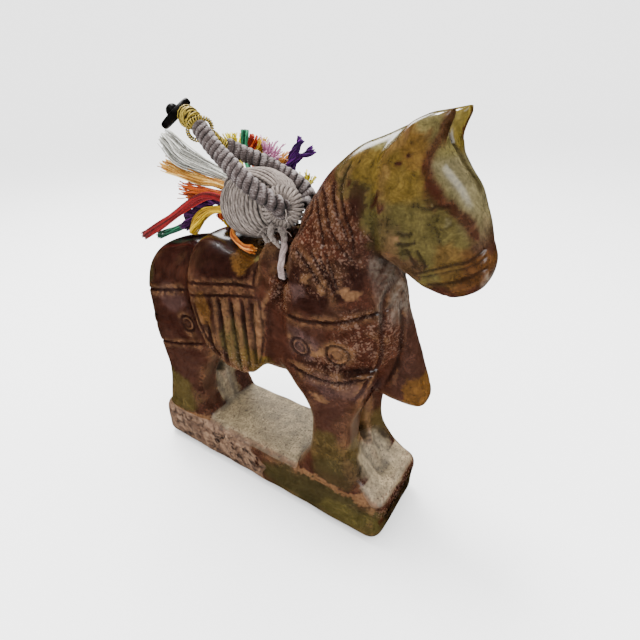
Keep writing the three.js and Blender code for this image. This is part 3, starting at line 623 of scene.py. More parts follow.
# Finer faces go where something is carved.
carved_lines = [(along(line, 20)[0], width, depth) for line, width, depth in GROOVES]
p, n = surface(stone)
flat = p[:, (0, 2)]
fine = np.zeros(len(p), bool)
for line, width, _ in carved_lines:
    box = near_line(flat, line)
    fine[box[from_line(flat[box], line)[0] < width / 2 + 0.4]] = True
for line in FLUTES:
    fine |= from_line(flat, line)[0] < 1.2
for x, z, radius in ROUNDELS:
    fine |= np.hypot(flat[:, 0] - x, flat[:, 1] - z) < radius + 0.8
fine &= (np.abs(p[:, 1]) > MIDDLE_BAND) & (np.abs(n[:, 1]) > 0.3)
work = bmesh.new()
work.from_mesh(stone.data)
edges = [e for e in work.edges if fine[e.verts[0].index] and fine[e.verts[1].index]]
bmesh.ops.subdivide_edges(work, edges=edges, cuts=1, use_grid_fill=True)
bmesh.ops.triangulate(work, faces=[f for f in work.faces if len(f.verts) > 4])
work.to_mesh(stone.data)
work.free()

p, n = surface(stone)
flat = p[:, (0, 2)]
push, carved_in = np.zeros(len(p)), np.zeros(len(p))
for line, width, depth in carved_lines:
    box = near_line(flat, line)
    gap, place = from_line(flat[box], line)
    deep = cut_profile(gap, width / 2 + 0.12, place, 9, 0.25)
    push[box] = np.minimum(push[box], -depth * deep)
    carved_in[box] = np.maximum(carved_in[box], deep * min(1, depth / 0.4))
for line in FLUTES:
    gap, place = from_line(flat, line)
    deep = cut_profile(gap, FLUTE_WIDTH / 2, place, 12, 0.3)
    push = np.minimum(push, -FLUTE_DEPTH * deep)
    carved_in = np.maximum(carved_in, 0.8 * deep)
for x, z, radius in ROUNDELS:
    gap = np.hypot(flat[:, 0] - x, flat[:, 1] - z)
    deep = np.clip(1 - ((gap - radius) / 0.6) ** 2, 0, 1)
    inner = np.clip(1 - ((gap - radius * 0.48) / 0.45) ** 2, 0, 1)
    push = np.minimum(push, np.minimum(-ROUNDEL_DEPTH * deep, -INNER_RING_DEPTH * inner))
    carved_in = np.maximum(carved_in, deep)
eye = np.clip(1 - ((flat[:, 0] - EYE[0]) / EYE_REACH[0]) ** 2 - ((flat[:, 1] - EYE[1]) / EYE_REACH[1]) ** 2, 0, 1)
push += EYE_RISE * eye ** 0.7
flank_on = np.clip((np.abs(n[:, 1]) - 0.2) / 0.25, 0, 1) * (np.abs(p[:, 1]) > MIDDLE_BAND)
# Hand work never leaves a face quite flat: it swells and sinks by a tenth of a millimetre or two.
x, y, z = p.T
swell = (0.11 * np.sin(x * 0.21 + 1.3) * np.sin(z * 0.17 + 0.4) + 0.08 * np.sin(x * 0.43 + z * 0.31)
         + 0.05 * np.sin(z * 0.66 - x * 0.5 + y * 0.4))
swell = np.where(z < 1.5, 0, swell)
p = p + n * (push * flank_on + swell)[:, None]
stone.data.vertices.foreach_set("co", (p * MM).astype(np.float32).ravel())
carved_in *= flank_on


def cloud(points, size, seed, octaves=3):
    # Smooth noise from 0 to 1, with blotches about as wide as "size" in millimetres.
    total, weight = 0.0, 0.0
    for octave in range(octaves):
        place = points / size * 2 ** octave + seed * 7.31
        cell = np.floor(place).astype(np.int64)
        part = place - cell
        part = part * part * (3 - 2 * part)
        value = 0.0
        for corner in np.ndindex(2, 2, 2):
            key = (cell + corner) @ np.array([73856093, 19349663, 83492791]) & 0xffffffff
            key = (key ^ key >> 15) * 2246822519 & 0xffffffff
            key = (key ^ key >> 13) * 3266489917 & 0xffffffff
            value = value + (key ^ key >> 16) / 0xffffffff * np.prod(
                np.where(np.array(corner) == 1, part, 1 - part), axis=1)
        total, weight = total + value / 2 ** octave, weight + 1 / 2 ** octave
    return total / weight


# The stone's tones, and where each lies: (tone, x, y or None for both flanks, z, reach in x, y and z, strength).
# They are about a third of what the eye sees, since the tent around the horse is that bright.
TONES = {
    "liver": "#301c14", "lilac": "#3a2824", "umber": "#1c0b07", "chestnut": "#30160c", "oxblood": "#260a07",
    "amber": "#4a3010", "honey": "#483811", "olive": "#3c3417", "moss": "#544e2c", "tan": "#5b4029",
    "bone": "#77684d", "ash": "#736d62", "russet": "#2a0d07", "slate": "#514a33", "gold": "#55481a", "leaf": "#2d2613",
}
PATCHES = [
    ("umber", -36, None, 63, 16, 9, 20, 0.6), ("lilac", -33, None, 70, 7, 9, 5, 0.6),
    ("liver", -40, None, 45, 12, 9, 12, 0.6), ("umber", -36, None, 85, 14, 30, 4.5, 0.9),
    ("leaf", -47, None, 78, 4, 30, 5, 0.7), ("olive", -51, None, 62, 3, 30, 12, 0.8),
    ("olive", -42, None, 27, 12, 30, 9, 0.75), ("umber", -8, None, 88, 14, 30, 7, 0.95),
    ("amber", -1, None, 89, 5, 30, 3.5, 0.85), ("umber", -10, None, 66, 11, 9, 13, 0.75),
    ("amber", -16, None, 70, 3, 9, 6, 0.7), ("olive", -3, None, 62, 5, 9, 9, 0.85),
    ("honey", 3, None, 57, 5, 9, 5, 0.8), ("tan", 6, None, 70, 2, 9, 8, 0.6),
    ("umber", 12, None, 93, 4, 30, 6, 0.9), ("chestnut", 14, None, 82, 5, 9, 9, 0.8),
    # The moss patch at x 2, y -10 is a painted highlight on the saddle's near front.
    ("moss", 2, -10, 92, 4, 6, 2, 0.8), ("umber", 27, None, 90, 12, 9, 7, 0.85),
    ("chestnut", 28, None, 105, 9, 9, 11, 0.9), ("lilac", 22, None, 84, 2.6, 9, 2.6, 0.9),
    ("tan", 25, None, 89, 1.8, 9, 1.4, 0.8), ("tan", 30, None, 87, 1.4, 9, 1.1, 0.8),
    ("tan", 37, None, 87, 2.6, 9, 1.6, 0.8), ("umber", 33, None, 81, 12, 9, 3, 0.8),
    ("chestnut", 38, None, 73, 7, 9, 8, 0.85), ("lilac", 22, None, 69, 5, 9, 6, 0.9),
    ("tan", 27, None, 68, 2.6, 9, 1.6, 0.8), ("tan", 34, None, 70, 4, 9, 3.4, 0.7),
    # The thin tan streak at x 45 is painted light along the breast's front rim.
    ("tan", 45, None, 76, 1.8, 9, 13, 0.8), ("umber", 36, None, 63, 7, 9, 2.2, 0.7),
    ("lilac", 33, None, 58, 9, 9, 4, 0.7), ("liver", 31, None, 46, 9, 9, 9, 0.8),
    ("tan", 28, None, 53, 3.4, 9, 1.1, 0.7), ("chestnut", 41, None, 40, 4, 9, 10, 0.8),
    ("olive", 30, None, 31, 8, 9, 8, 0.6), ("leaf", 32, None, 24, 9, 9, 5, 0.7),
    ("olive", 50, None, 107, 12.5, 20, 17, 1.0), ("honey", 45, None, 117, 9, 20, 8, 0.9),
    ("amber", 50, None, 121, 5, 9, 4, 0.45), ("leaf", 44, None, 101, 5, 9, 5, 0.7),
    ("liver", 46, None, 95, 7, 9, 3.4, 0.75), ("amber", 60, None, 97, 6, 9, 5, 0.5),
    ("russet", 54, None, 112, 2, 9, 3, 0.5), ("tan", 29, 0, 115, 4, 6, 4, 0.6),
    ("olive", 34, None, 115, 6, 12, 5, 0.8), ("honey", 39, None, 118, 6, 12, 5, 0.8),
    ("moss", 38, 0, 122, 9, 8, 3.4, 0.9), ("moss", 48, 0, 126, 7, 7, 2.2, 0.9),
    ("umber", 36.4, None, 109, 1.8, 9, 4.6, 0.75), ("gold", 54, 7, 125, 4, 4, 5, 0.95),
    ("moss", 51, -6, 125, 4, 4, 2.4, 0.7), ("liver", 48, None, 72, 6, 6, 18, 0.8),
    ("chestnut", 44, -6, 70, 3, 4, 14, 0.7), ("amber", 53, None, 57, 3.4, 6, 5, 0.9),
    ("umber", -30, None, 8, 34, 30, 9, 0.85), ("leaf", 28, None, 9, 26, 30, 9, 1.0),
    ("olive", 40, None, 7, 12, 30, 6, 0.7), ("oxblood", 51, -14, 13, 2.6, 4, 9, 0.9),
    ("oxblood", -53, None, 8, 2.4, 30, 9, 0.8), ("umber", 50, 0, 9, 3, 11, 9, 0.7),
    ("bone", 42, 0, 24, 11, 9, 8, 0.85), ("bone", -30, 0, 28, 12, 5, 13, 0.85),
    ("tan", 34, 0, 36, 5, 4, 12, 0.5),
]


def toned(colour, tone, share):
    # Blends a tone over the colours.
    share = np.clip(share, 0, 1)[:, None]
    return colour * (1 - share) + np.array(linear(TONES[tone])[:3]) * share


def spread(x, z, reach_x, reach_z):
    # From 1 in the middle of a patch of the side view to 0 at its ragged edge.
    return np.clip(1.3 - ((bent[:, 0] - x) / reach_x) ** 2 - ((bent[:, 2] - z) / reach_z) ** 2, 0, 1)


p, n = surface(stone)
x, y, z = p.T
warp = np.stack([cloud(p, 6.0, seed) for seed in (1, 2, 3)], 1) - 0.5
warp += 0.45 * (np.stack([cloud(p, 1.6, seed) for seed in (4, 5, 6)], 1) - 0.5)
bent = p + warp * 6.0
colour = np.tile(np.array(linear(TONES["liver"])[:3]), (len(p), 1))
colour = toned(colour, "chestnut", cloud(p, 10.0, 8))
for tone, patch_x, patch_y, patch_z, reach_x, reach_y, reach_z, strength in PATCHES:
    away = ((bent[:, 0] - patch_x) / reach_x) ** 2 + ((bent[:, 2] - patch_z) / reach_z) ** 2
    if patch_y is not None:
        away += ((bent[:, 1] - patch_y) / reach_y) ** 2
    colour = toned(colour, tone, strength * np.clip((1.25 - away) * 2.2, 0, 1))

# The face's front plane is painted pale, as light from the front, with a dark red vein along its edge and a dark line
# in the groove between the ears.
VEIN = [(54.6, 127), (53.6, 124), (52, 120.6), (51.4, 117.6), (53, 114), (56.2, 110.8), (60, 107.6), (62.4, 104.4)]
CLEFT = [(54.4, 128), (53.4, 124.4), (51.6, 120.6), (53.6, 117.6), (58.6, 114.2)]
RED_SPOTS = ((41.6, 109.2, 0.9), (33.4, 113.4, 0.7), (44.2, 118, 0.8), (47.2, 121.2, 0.6), (42.6, 107.6, 0.7))
ahead = np.clip((n[:, 0] - 0.35) * 4, 0, 1)
upper = np.clip((bent[:, 2] - 101) / 5, 0, 1) * (x > 49)
above = np.clip((z - 118.5) / 2, 0, 1)
# Painted light: the planes that face forward are paler, more so higher up on the face.
colour = toned(colour, "slate", 0.9 * ahead * upper * (1 - above) * (0.4 + 0.6 * np.clip((z - 103) / 8, 0, 1)))
colour = toned(colour, "gold", 0.9 * ahead * above * (x > 50) * (y > 1))
colour = toned(colour, "moss", 0.8 * ahead * above * (x > 50) * (y < -1))
gap, _ = from_line(bent[:, (0, 2)] * 0.35 + flat * 0.65, VEIN)
on_head = (x > 46) & (z > 99)
colour = toned(colour, "russet", 0.85 * on_head * (np.abs(y) > 4.5) * np.clip(1.7 - gap / 0.9, 0, 1))
gap, _ = from_line(flat, CLEFT)
colour = toned(colour, "leaf", 0.95 * on_head * np.clip((1.5 - np.abs(y)) * 2, 0, 1) * np.clip(3.4 - gap, 0, 1))
colour = toned(colour, "oxblood", 0.9 * (np.abs(bent[:, 1]) < 1.6) * (bent[:, 2] > 124.6) * on_head)
for spot_x, spot_z, radius in RED_SPOTS:
    near = 1.6 - np.hypot(bent[:, 0] - spot_x, bent[:, 2] - spot_z) / radius
    colour = toned(colour, "oxblood", np.clip(near, 0, 1) * (x > 30))

# The breast's front is grey and scratched, the plinth's top is weathered, and its top edge is worn to tan.
scratch = 0.5 + 0.5 * np.sin(y * 9 + 2.5 * np.sin(z * 0.5))
throat = np.clip((n[:, 0] - 0.7) * 5, 0, 1) * (x > 38) * np.clip((97 - z) / 2, 0, 1) * np.clip((z - 76) / 5, 0, 1)
colour = toned(colour, "ash", throat * (0.1 + 0.35 * scratch))
top = np.clip((n[:, 2] - 0.5) * 3, 0, 1) * (np.abs(z - PLINTH_HEIGHT) < 3)
colour = toned(colour, "bone", top * (0.55 + 0.8 * cloud(p, 5.0, 12)))
colour = toned(colour, "tan", 0.8 * (np.abs(bent[:, 2] - 18) < 1.2) * (np.abs(y) > 12.6) * (x > -46))

# Where the stone stands out it is worn lighter, and where it falls in it is darker.
ends = np.zeros(len(stone.data.edges) * 2, np.int32)
stone.data.edges.foreach_get("vertices", ends)
ends = ends.reshape(-1, 2)
count = np.bincount(ends.ravel(), minlength=len(p))
smooth = p.copy()
for _ in range(5):
    smooth = np.stack([np.bincount(ends[:, 0], smooth[ends[:, 1], k], len(p))
                       + np.bincount(ends[:, 1], smooth[ends[:, 0], k], len(p)) for k in range(3)], 1) / count[:, None]
bulge = ((p - smooth) * n).sum(1)
worn = np.clip(bulge / 0.16 - 0.35, 0, 1) * np.clip(cloud(p, 3.0, 9) * 2.4 - 0.5, 0, 1) * (x < 47)
colour = toned(colour, "tan", 0.7 * worn)
colour *= (1 - 0.55 * np.clip(-bulge / 0.22 - 0.15, 0, 1))[:, None]
colour *= (np.where(x > 46, 1.0, 0.94) + 0.25 * top)[:, None]

# Where tan grains lie, where the plinth's side is flaked, and where the weathered top and hooves are speckled.
grain = np.max([spread(28, 99, 10, 14), spread(40, 74, 6, 9), 0.8 * spread(30, 62, 9, 5), spread(43, 40, 4, 11),
                0.8 * spread(16, 84, 4, 8), 0.7 * spread(-4, 54, 12, 4), 0.8 * spread(50, 16, 4, 6)], 0) * (z < 121)
crust = (z < 17.4) * np.clip((6 + 26 * (cloud(p, 7.0, 11) - 0.5) - 0.5 * z - x) / 2, 0, 1) * (z > 2.2)
speckle = np.max([top, np.clip(1.3 - ((x - 42) / 11) ** 2 - ((z - 24) / 9) ** 2 - (y / 10) ** 2, 0, 1),
                  np.clip(1.3 - ((x + 30) / 12) ** 2 - ((z - 28) / 13) ** 2 - (y / 5) ** 2, 0, 1)], 0)
keep_values(stone, "tone", np.column_stack([colour, np.ones(len(p))]))
keep_values(stone, "marks", np.column_stack([carved_in, grain, speckle, crust]))

# Polished nephrite: IOR 1.61 with a weak gleam, glossy where the polish has reached, duller on the
# weathered crust. The crust's tan grains are 0.4 to 0.8 mm across, and the plinth's flakes 2 to 8 mm.
polished_jade, tree, shader = new_material("polished_jade", {"IOR": 1.61, "Specular IOR Level": 0.45})
place = add_node(tree, "TexCoord").outputs["Object"]
tone = add_node(tree, "Attribute", attribute_name="tone")
worked = add_node(tree, "Attribute", attribute_name="marks")
marks = add_node(tree, "SeparateColor", {0: worked})
mottle = add_node(tree, "TexNoise", {"Vector": place, "Scale": 300.0, "Detail": 10.0, "Roughness": 0.74,
                                     "Distortion": 0.8})
fleck = add_node(tree, "TexNoise", {"Vector": place, "Scale": 1300.0, "Detail": 3.0, "Roughness": 0.6})
mottled = add_node(tree, "Math", {0: fleck, 1: 0.4, 2: mottle}, operation="MULTIPLY_ADD")
light = add_node(tree, "ValToRGB", {0: mottled}, [(0.5, 0.4), (0.7, 0.98), (0.9, 1.75)])
tinted = add_node(tree, "Mix", {0: 1.0, 6: tone, 7: light}, data_type="RGBA", blend_type="MULTIPLY")
# The tan grains, in patches of the mottle.
grains = add_node(tree, "TexVoronoi", {"Vector": place, "Scale": 1500.0, "Randomness": 1.0}, feature="SMOOTH_F1")
grain_dots = add_node(tree, "ValToRGB", {0: grains}, [(0.25, 1.0), (0.45, 0.0)])
grain_patches = add_node(tree, "ValToRGB", {0: mottle}, [(0.42, 0.0), (0.56, 1.0)])
grain_area = add_node(tree, "Math", {0: marks.outputs[1], 1: grain_patches}, operation="MULTIPLY")
grained = add_node(tree, "Math", {0: grain_dots, 1: grain_area}, operation="MULTIPLY", use_clamp=True)
# The plinth's flakes, the dark spots on its weathered top, and the carved lines made darker.
flakes = add_node(tree, "TexNoise", {"Vector": place, "Scale": 260.0, "Detail": 10.0, "Roughness": 0.8,
                                     "Distortion": 1.2})
flake_edges = add_node(tree, "ValToRGB", {0: flakes}, [(0.43, 0.0), (0.5, 1.0)])
flaked = add_node(tree, "Math", {0: worked.outputs["Alpha"], 1: flake_edges}, operation="MULTIPLY")
flake_colour = add_node(tree, "ValToRGB", {0: mottled}, [(0.5, linear("#402b1c")), (0.65, linear("#553b28")),
                                                         (0.85, linear("#7d6046"))])
spots = add_node(tree, "TexNoise", {"Vector": place, "Scale": 1500.0, "Detail": 2.0, "Roughness": 0.6})
spot_dots = add_node(tree, "ValToRGB", {0: spots}, [(0.55, 0.0), (0.66, 0.8)])
spotted = add_node(tree, "Math", {0: marks.outputs[2], 1: spot_dots}, operation="MULTIPLY")
carved_darker = add_node(tree, "Math", {0: marks, 1: 0.55}, operation="MULTIPLY")
stone_colour = tinted.outputs[2]
for share, cover in ((grained, linear("#5a3a24")), (flaked, flake_colour), (spotted, linear("#33231b")),
                     (carved_darker, linear("#180c08"))):
    stone_colour = add_node(tree, "Mix", {0: share, 6: stone_colour, 7: cover}, data_type="RGBA").outputs[2]
unpolished = add_node(tree, "Math", {0: marks.outputs[2], 1: grained}, operation="MAXIMUM")
dull, relief = 0.08, 0.0
for source, share in ((mottle, 0.2), (worked.outputs["Alpha"], 0.3), (unpolished, 0.45)):
    dull = add_node(tree, "Math", {0: source, 1: share, 2: dull}, operation="MULTIPLY_ADD")
for source, share in ((mottle, 0.5), (flaked, 0.7), (grained, 0.5)):
    relief = add_node(tree, "Math", {0: source, 1: share, 2: relief}, operation="MULTIPLY_ADD")
bump = add_node(tree, "Bump", {"Strength": 0.4, "Distance": 0.00025, "Height": relief})
feed(shader, {"Base Color": stone_colour, "Roughness": dull, "Normal": bump})
stone.data.materials.clear()
stone.data.materials.append(polished_jade)
choose(stone)
bpy.ops.object.shade_smooth()
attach(stone, "root")
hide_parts("horse")

# Ball of cord
# A soft core wound with grey cotton cord in turns of 1.2 mm, with a second layer laid lengthwise over the top.
# The near strap's root goes into a ring of the same cord at its front, with loose ends below it.
BALL_CENTRE, BALL_AXIS = np.array((-2.7, 0.5, 101.6)), unit((0.955, -0.25, 0.16))
BALL_HALF_LENGTH, BALL_HALF_WIDTH, BALL_SQUARENESS = 12.4, 9.6, 2.6
THREAD = 1.22
TOP_STRANDS, TOP_STRAND_RADIUS = 19, 0.58
RING_CENTRE, RING_AXIS = np.array((10.1, -3.8, 103.3)), unit((0.5, -0.85, 0.1))
RING_RADIUS, RING_THICK, RING_WRAPS = 3.7, 2.3, 27

ball_up = unit(np.array((0, 0, 1.0)) - BALL_AXIS * BALL_AXIS[2])
ball_near = np.cross(BALL_AXIS, ball_up)
chance = np.random.default_rng(3)


def on_ball(angle, turn, grow):
    # A point on the ball: angle 0 to pi from its front end to its back end, and a turn about its axis from the top.
    power = 2 / BALL_SQUARENESS
    s = (BALL_HALF_LENGTH + grow) * np.sign(np.cos(angle)) * np.abs(np.cos(angle)) ** power
    r = (BALL_HALF_WIDTH + grow) * np.abs(np.sin(angle)) ** power
    return (BALL_CENTRE + s[:, None] * BALL_AXIS + (r * np.cos(turn))[:, None] * ball_up
            + (r * np.sin(turn))[:, None] * ball_near)


def ring_coil(centre, axis, radius, thick, wraps, steps, start=0.0, uneven=0.0):
    # The path of a thread that is wrapped round and round a ring, and the ring's own middle beside it.
    first = unit(np.cross(axis, (0, 0, 1.0)))
    wrap = np.linspace(0, wraps * 2 * np.pi, wraps * steps, endpoint=False) + start
    out = around(first, np.cross(axis, first), wrap / wraps)
    small = thick + uneven * np.sin(wrap / wraps * 5 + 1)
    path = centre + out * (radius + small * np.cos(wrap))[:, None] + axis * (small * np.sin(wrap))[:, None]
    return path, centre + out * radius


def lay_thread(parts, tones, path, size, sides, side, level, inside, closed=False):
    # Adds a thread along a path. It is painted lighter where it faces away from "inside", and darker, as shade, where
    # it faces in.
    verts, faces = tube(path, size, sides, side, closed)
    out = path - inside
    out /= np.linalg.norm(out, axis=1)[:, None] + 1e-9
    ring = verts[:len(path) * sides].reshape(len(path), sides, 3) - path[:, None]
    face = (ring * out[:, None]).sum(-1) / (np.linalg.norm(ring, axis=-1) + 1e-9)
    tone = np.zeros((len(path), sides, 4))
    # Painted light and shade: the thread is lighter where it faces out and darker towards its inner side.
    tone[..., 0] = level * np.clip(0.5 + 0.5 * face, 0, 1) ** 2
    tone[..., 1] = 0.5
    tone[..., 2] = np.linspace(0, len(path) / 40, len(path))[:, None]
    tone[..., 3] = np.arange(sides) / sides
    tone = tone.reshape(-1, 4)
    parts.append((verts, faces))
    tones.append(tone if closed else np.vstack([tone, tone[:1], tone[-1:]]))


parts, tones = [], []
angles = np.linspace(0.06, np.pi - 0.06, 4000)
run = run_along(on_ball(angles, np.zeros(len(angles)), -THREAD / 2))
turns = int(run[-1] / THREAD)
steps = turns * 40
turn = np.linspace(0, turns * 2 * np.pi, steps)
angle = np.interp(np.linspace(0, run[-1], steps), run, angles)
uneven = np.interp(turn, np.linspace(0, turn[-1], turns * 3), chance.normal(0, 0.10, turns * 3))
wander = np.interp(turn, np.linspace(0, turn[-1], turns * 4), chance.normal(0, 0.012, turns * 4))
wound = on_ball(angle + wander, turn, -THREAD / 2 + uneven)
lay_thread(parts, tones, wound, THREAD * 0.55, 8, BALL_AXIS, 0.75, BALL_CENTRE)
for k, about in enumerate(np.linspace(-1.75, 0.42, TOP_STRANDS)):
    path_angle = np.linspace(0.42 + chance.uniform(-0.05, 0.05), np.pi - 0.42 + chance.uniform(-0.05, 0.05), 34)
    lift = np.minimum(1, np.minimum(path_angle - 0.3, np.pi - 0.3 - path_angle) * 3)
    path = on_ball(path_angle, about + 0.10 * np.sin(path_angle * 3 + k) * 0.4 + 0.12 * (path_angle - 1.57),
                   -0.1 + 0.45 * lift + chance.uniform(-0.1, 0.1))
    lay_thread(parts, tones, path, TOP_STRAND_RADIUS, 7, ball_up, 0.95, BALL_CENTRE)
core_rows, core_columns = 24, 32
core_angle, core_turn = np.meshgrid(np.linspace(0.02, np.pi - 0.02, core_rows),
                                    np.linspace(0, 2 * np.pi, core_columns, endpoint=False), indexing="ij")
core = on_ball(core_angle.ravel(), core_turn.ravel(), -THREAD * 0.95)
lay_core(parts, tones, (core, grid_faces(core_rows, core_columns) + end_faces(core_rows, core_columns)))
path, middle = ring_coil(RING_CENTRE, RING_AXIS, RING_RADIUS, RING_THICK - 0.55, RING_WRAPS, 16, uneven=0.12)
lay_thread(parts, tones, path, 0.60, 7, RING_AXIS, 0.9, middle, closed=True)
_, middle = ring_coil(RING_CENTRE, RING_AXIS, RING_RADIUS, 0.0, 1, 40)
lay_core(parts, tones, tube(middle, RING_THICK - 1.0, 12, RING_AXIS, closed=True))
ball_cotton = cord_material("ball_cotton", "#0e0b0a", "#534b46", "#8c8078")
piece("ball_windings", gather(parts), np.vstack(tones), ball_cotton, "knot")

# Loose ends and stitches
# Where the ring was sewn down, the cord's ends were left: a few short stubs and fine threads that stray.
STUBS = [([(5.6, -7.5, 96.1), (7.8, -8.6, 94.8), (10.6, -9.3, 94)], 0.7),
         ([(8.2, -8, 96.6), (11.3, -9.6, 95.6), (13.6, -10.2, 94.5)], 0.7),
         ([(11.7, -7.8, 99.1), (13.9, -9.4, 98.3), (15.6, -10.4, 96.7)], 0.75),
         ([(9.1, -7.4, 99.6), (9.8, -9.4, 97.8), (10.9, -10, 95.8)], 0.9)]
STRAY_THREADS, STRAY_STEP, STRAY_RADIUS, STRAY_LIMIT = 34, 1.5, 0.09, -13.5
parts, tones = [], []
for k, (points, size) in enumerate(STUBS):
    shape, tone = plied(points, [size * 0.8, size, size * 0.7], 5, 24, seed=k)
    parts.append(shape)
    tones.append(tone)
for _ in range(STRAY_THREADS):
    points = [RING_CENTRE + np.array([chance.uniform(-4, 4), -3.2 + chance.uniform(-1, 1), chance.uniform(-6, 2)])]
    way = chance.normal(0, 1, 3) * (1, 0.35, 1)
    for _ in range(4):
        way = way + chance.normal(0, 0.8, 3) * (1, 0.4, 1)
        points.append(points[-1] + way / np.linalg.norm(way) * STRAY_STEP)
    path, _ = along(points, 14)
    path[:, 1] = np.maximum(path[:, 1], STRAY_LIMIT)
    strand = tube(path, STRAY_RADIUS, 4)
    parts.append(strand)
    tones.append(np.full((len(strand[0]), 4), 0.95))
piece("loose_cotton_ends", gather(parts), np.vstack(tones), ball_cotton, "knot")

# Gold winding
# Fine gold thread is wound over the near strap's tip in a soft lump and goes on to the button.
GOLD_NECK = [(-20.3, -3.2, 123.5), (-22.3, -3.3, 124.9), (-25.4, -1.6, 123.7), (-28.2, -0.5, 123.5)]
GOLD_RADII = [2.2, 2.7, 1.9, 1.3]


def wound_round(points, radii, turns, thread, lean, seed):
    # Thread wound round a path, turn beside turn, once each way so that the layers cross.
    count, sides, wobble_step = turns * 14, 5, 9
    path, _ = along(with_radii(points, radii), count)
    way, first, second = across(path[:, :3], (0.2, 0.3, 0.9))
    chance = np.random.default_rng(seed)
    parts, tones = [], []
    for layer in (1, -1):
        turn = layer * np.linspace(0, turns * 2 * np.pi, count)
        wobble = np.arange(0, count, wobble_step)
        reach = path[:, 3] - thread + 0.12 * np.interp(np.arange(count), wobble, chance.normal(0, 1, len(wobble)))
        at = (path[:, :3] + reach[:, None] * around(first, second, turn)
              + way * (lean * path[:, 3] * np.sin(turn * 0.5 + layer))[:, None])
        lay_thread(parts, tones, at, thread, sides, way.mean(0), 1.0, path[:, :3])
    lay_core(parts, tones, tube(path[::7, :3], path[::7, 3] - thread * 1.4, 12))
    return gather(parts), np.vstack(tones)


# Metallised polyester thread: painted lighter where it faces out from what it is wound on, painted shade, brown, in the
# gaps, and a small painted sparkle as glints.
gold_thread, tree, shader = new_material("gold_thread", {"Metallic": 0.35, "Roughness": 0.45})
tone = add_node(tree, "SeparateColor", {0: add_node(tree, "Attribute", attribute_name="tone")})
place = add_node(tree, "TexCoord").outputs["Object"]
# Painted glints: a fine noise that brightens the thread's colour.
painted_glint = add_node(tree, "TexNoise", {"Vector": place, "Scale": 2600.0, "Detail": 2.0})
brighter = add_node(tree, "Math", {0: painted_glint, 1: 0.5}, operation="ADD")
painted_shine = add_node(tree, "Math", {0: tone, 1: brighter}, operation="MULTIPLY")
colour = add_node(tree, "ValToRGB", {0: painted_shine}, [(0.15, linear("#241b05")), (0.6, linear("#63521a")),
                                                 (1.1, linear("#c2a83c"))])
feed(shader, {"Base Color": colour})
shape, tones = wound_round(GOLD_NECK, GOLD_RADII, 30, 0.27, 0.6, 5)
gold_winding = piece("gold_winding", shape, tones, gold_thread, "gold_neck")

# Gold loop
# The far strap ends in a loop of the same thread. It is slipped over the near strap to close the pair.
LOOP_CENTRE, LOOP_AXIS = np.array((-18.2, -3.6, 121.85)), unit((-0.79, 0.39, 0.47))
LOOP_RADIUS, LOOP_THICK, LOOP_WRAPS, LOOP_THREAD = 3.5, 0.65, 30, 0.24
LOOP_TAIL = [(-17.1, -0.2, 120.7), (-17.2, 2.4, 118.6), (-15.9, 4.4, 116.5)]
parts, tones = [], []
for layer in range(3):
    path, middle = ring_coil(LOOP_CENTRE, LOOP_AXIS, LOOP_RADIUS, LOOP_THICK - LOOP_THREAD, LOOP_WRAPS, 10, layer * 2.1)
    lay_thread(parts, tones, path, LOOP_THREAD, 5, LOOP_AXIS, 1.0, middle, closed=True)
shape, tail_tones = wound_round(LOOP_TAIL, [0.9, 1.0, 1.1], 9, 0.25, 0.2, 6)
parts.append(shape)
tones.append(tail_tones)
gold_loop = piece("gold_loop_threads", gather(parts), np.vstack(tones), gold_thread, "gold_loop")

# Button
# A round button of black resin, turned with a low rim, on the end of the near strap. Its shank's knob is outside.
BUTTON_CENTRE, BUTTON_AXIS, BUTTON_RADIUS, BUTTON_THICK = (-29.9, -1.5, 125.5), (-0.48, -0.43, 0.76), 5.6, 2.2
BUTTON_EDGE, RIM_WIDTH, DISH_STEP, DISH_DEPTH = 0.85, 0.5, 0.35, 0.3
KNOB_RADIUS, KNOB_RISE, KNOB_WAVES, KNOB_WAVE_DEPTH = 1.9, 2.0, 9, 0.05
button_turn = Vector(BUTTON_AXIS).normalized().to_track_quat("Z", "Y").to_euler()
bpy.ops.object.select_all(action="DESELECT")
bpy.ops.mesh.primitive_cylinder_add(vertices=56, radius=BUTTON_RADIUS * MM, depth=BUTTON_THICK * MM)
button = bpy.context.object
pick(button, "EDGE", lambda edge: climb(button, edge) < 0.1 * MM)
bpy.ops.mesh.bevel(offset=BUTTON_EDGE * MM, segments=5)
pick(button, "FACE", lambda face: face.normal.z > 0.99 and len(face.vertices) > 8)
bpy.ops.mesh.inset(thickness=RIM_WIDTH * MM)
bpy.ops.mesh.inset(thickness=DISH_STEP * MM, depth=-DISH_DEPTH * MM)
bpy.ops.mesh.inset(thickness=2.2 * MM, depth=DISH_DEPTH / 2 * MM)
bpy.ops.object.mode_set(mode="OBJECT")
bpy.ops.mesh.primitive_uv_sphere_add(segments=32, ring_count=16, radius=KNOB_RADIUS * MM,
                                     location=(0, 0, (BUTTON_THICK / 2 + KNOB_RISE - KNOB_RADIUS) * MM))
knob = bpy.context.object
bpy.ops.object.transform_apply(location=True, rotation=False, scale=False)
for vertex in knob.data.vertices:
    # A wound knob: shallow waves run round it.
    wave = 1 + KNOB_WAVE_DEPTH * math.cos(KNOB_WAVES * math.atan2(vertex.co.y, vertex.co.x))
    vertex.co.x *= wave
    vertex.co.y *= wave
for thing in (button, knob):
    thing.rotation_euler = button_turn
    thing.location = Vector(BUTTON_CENTRE) * MM
choose(button, knob)
bpy.ops.object.transform_apply(location=True, rotation=True, scale=True)
bpy.ops.object.join()
button.name = "resin_button"
bpy.ops.object.shade_smooth_by_angle(angle=math.radians(35))
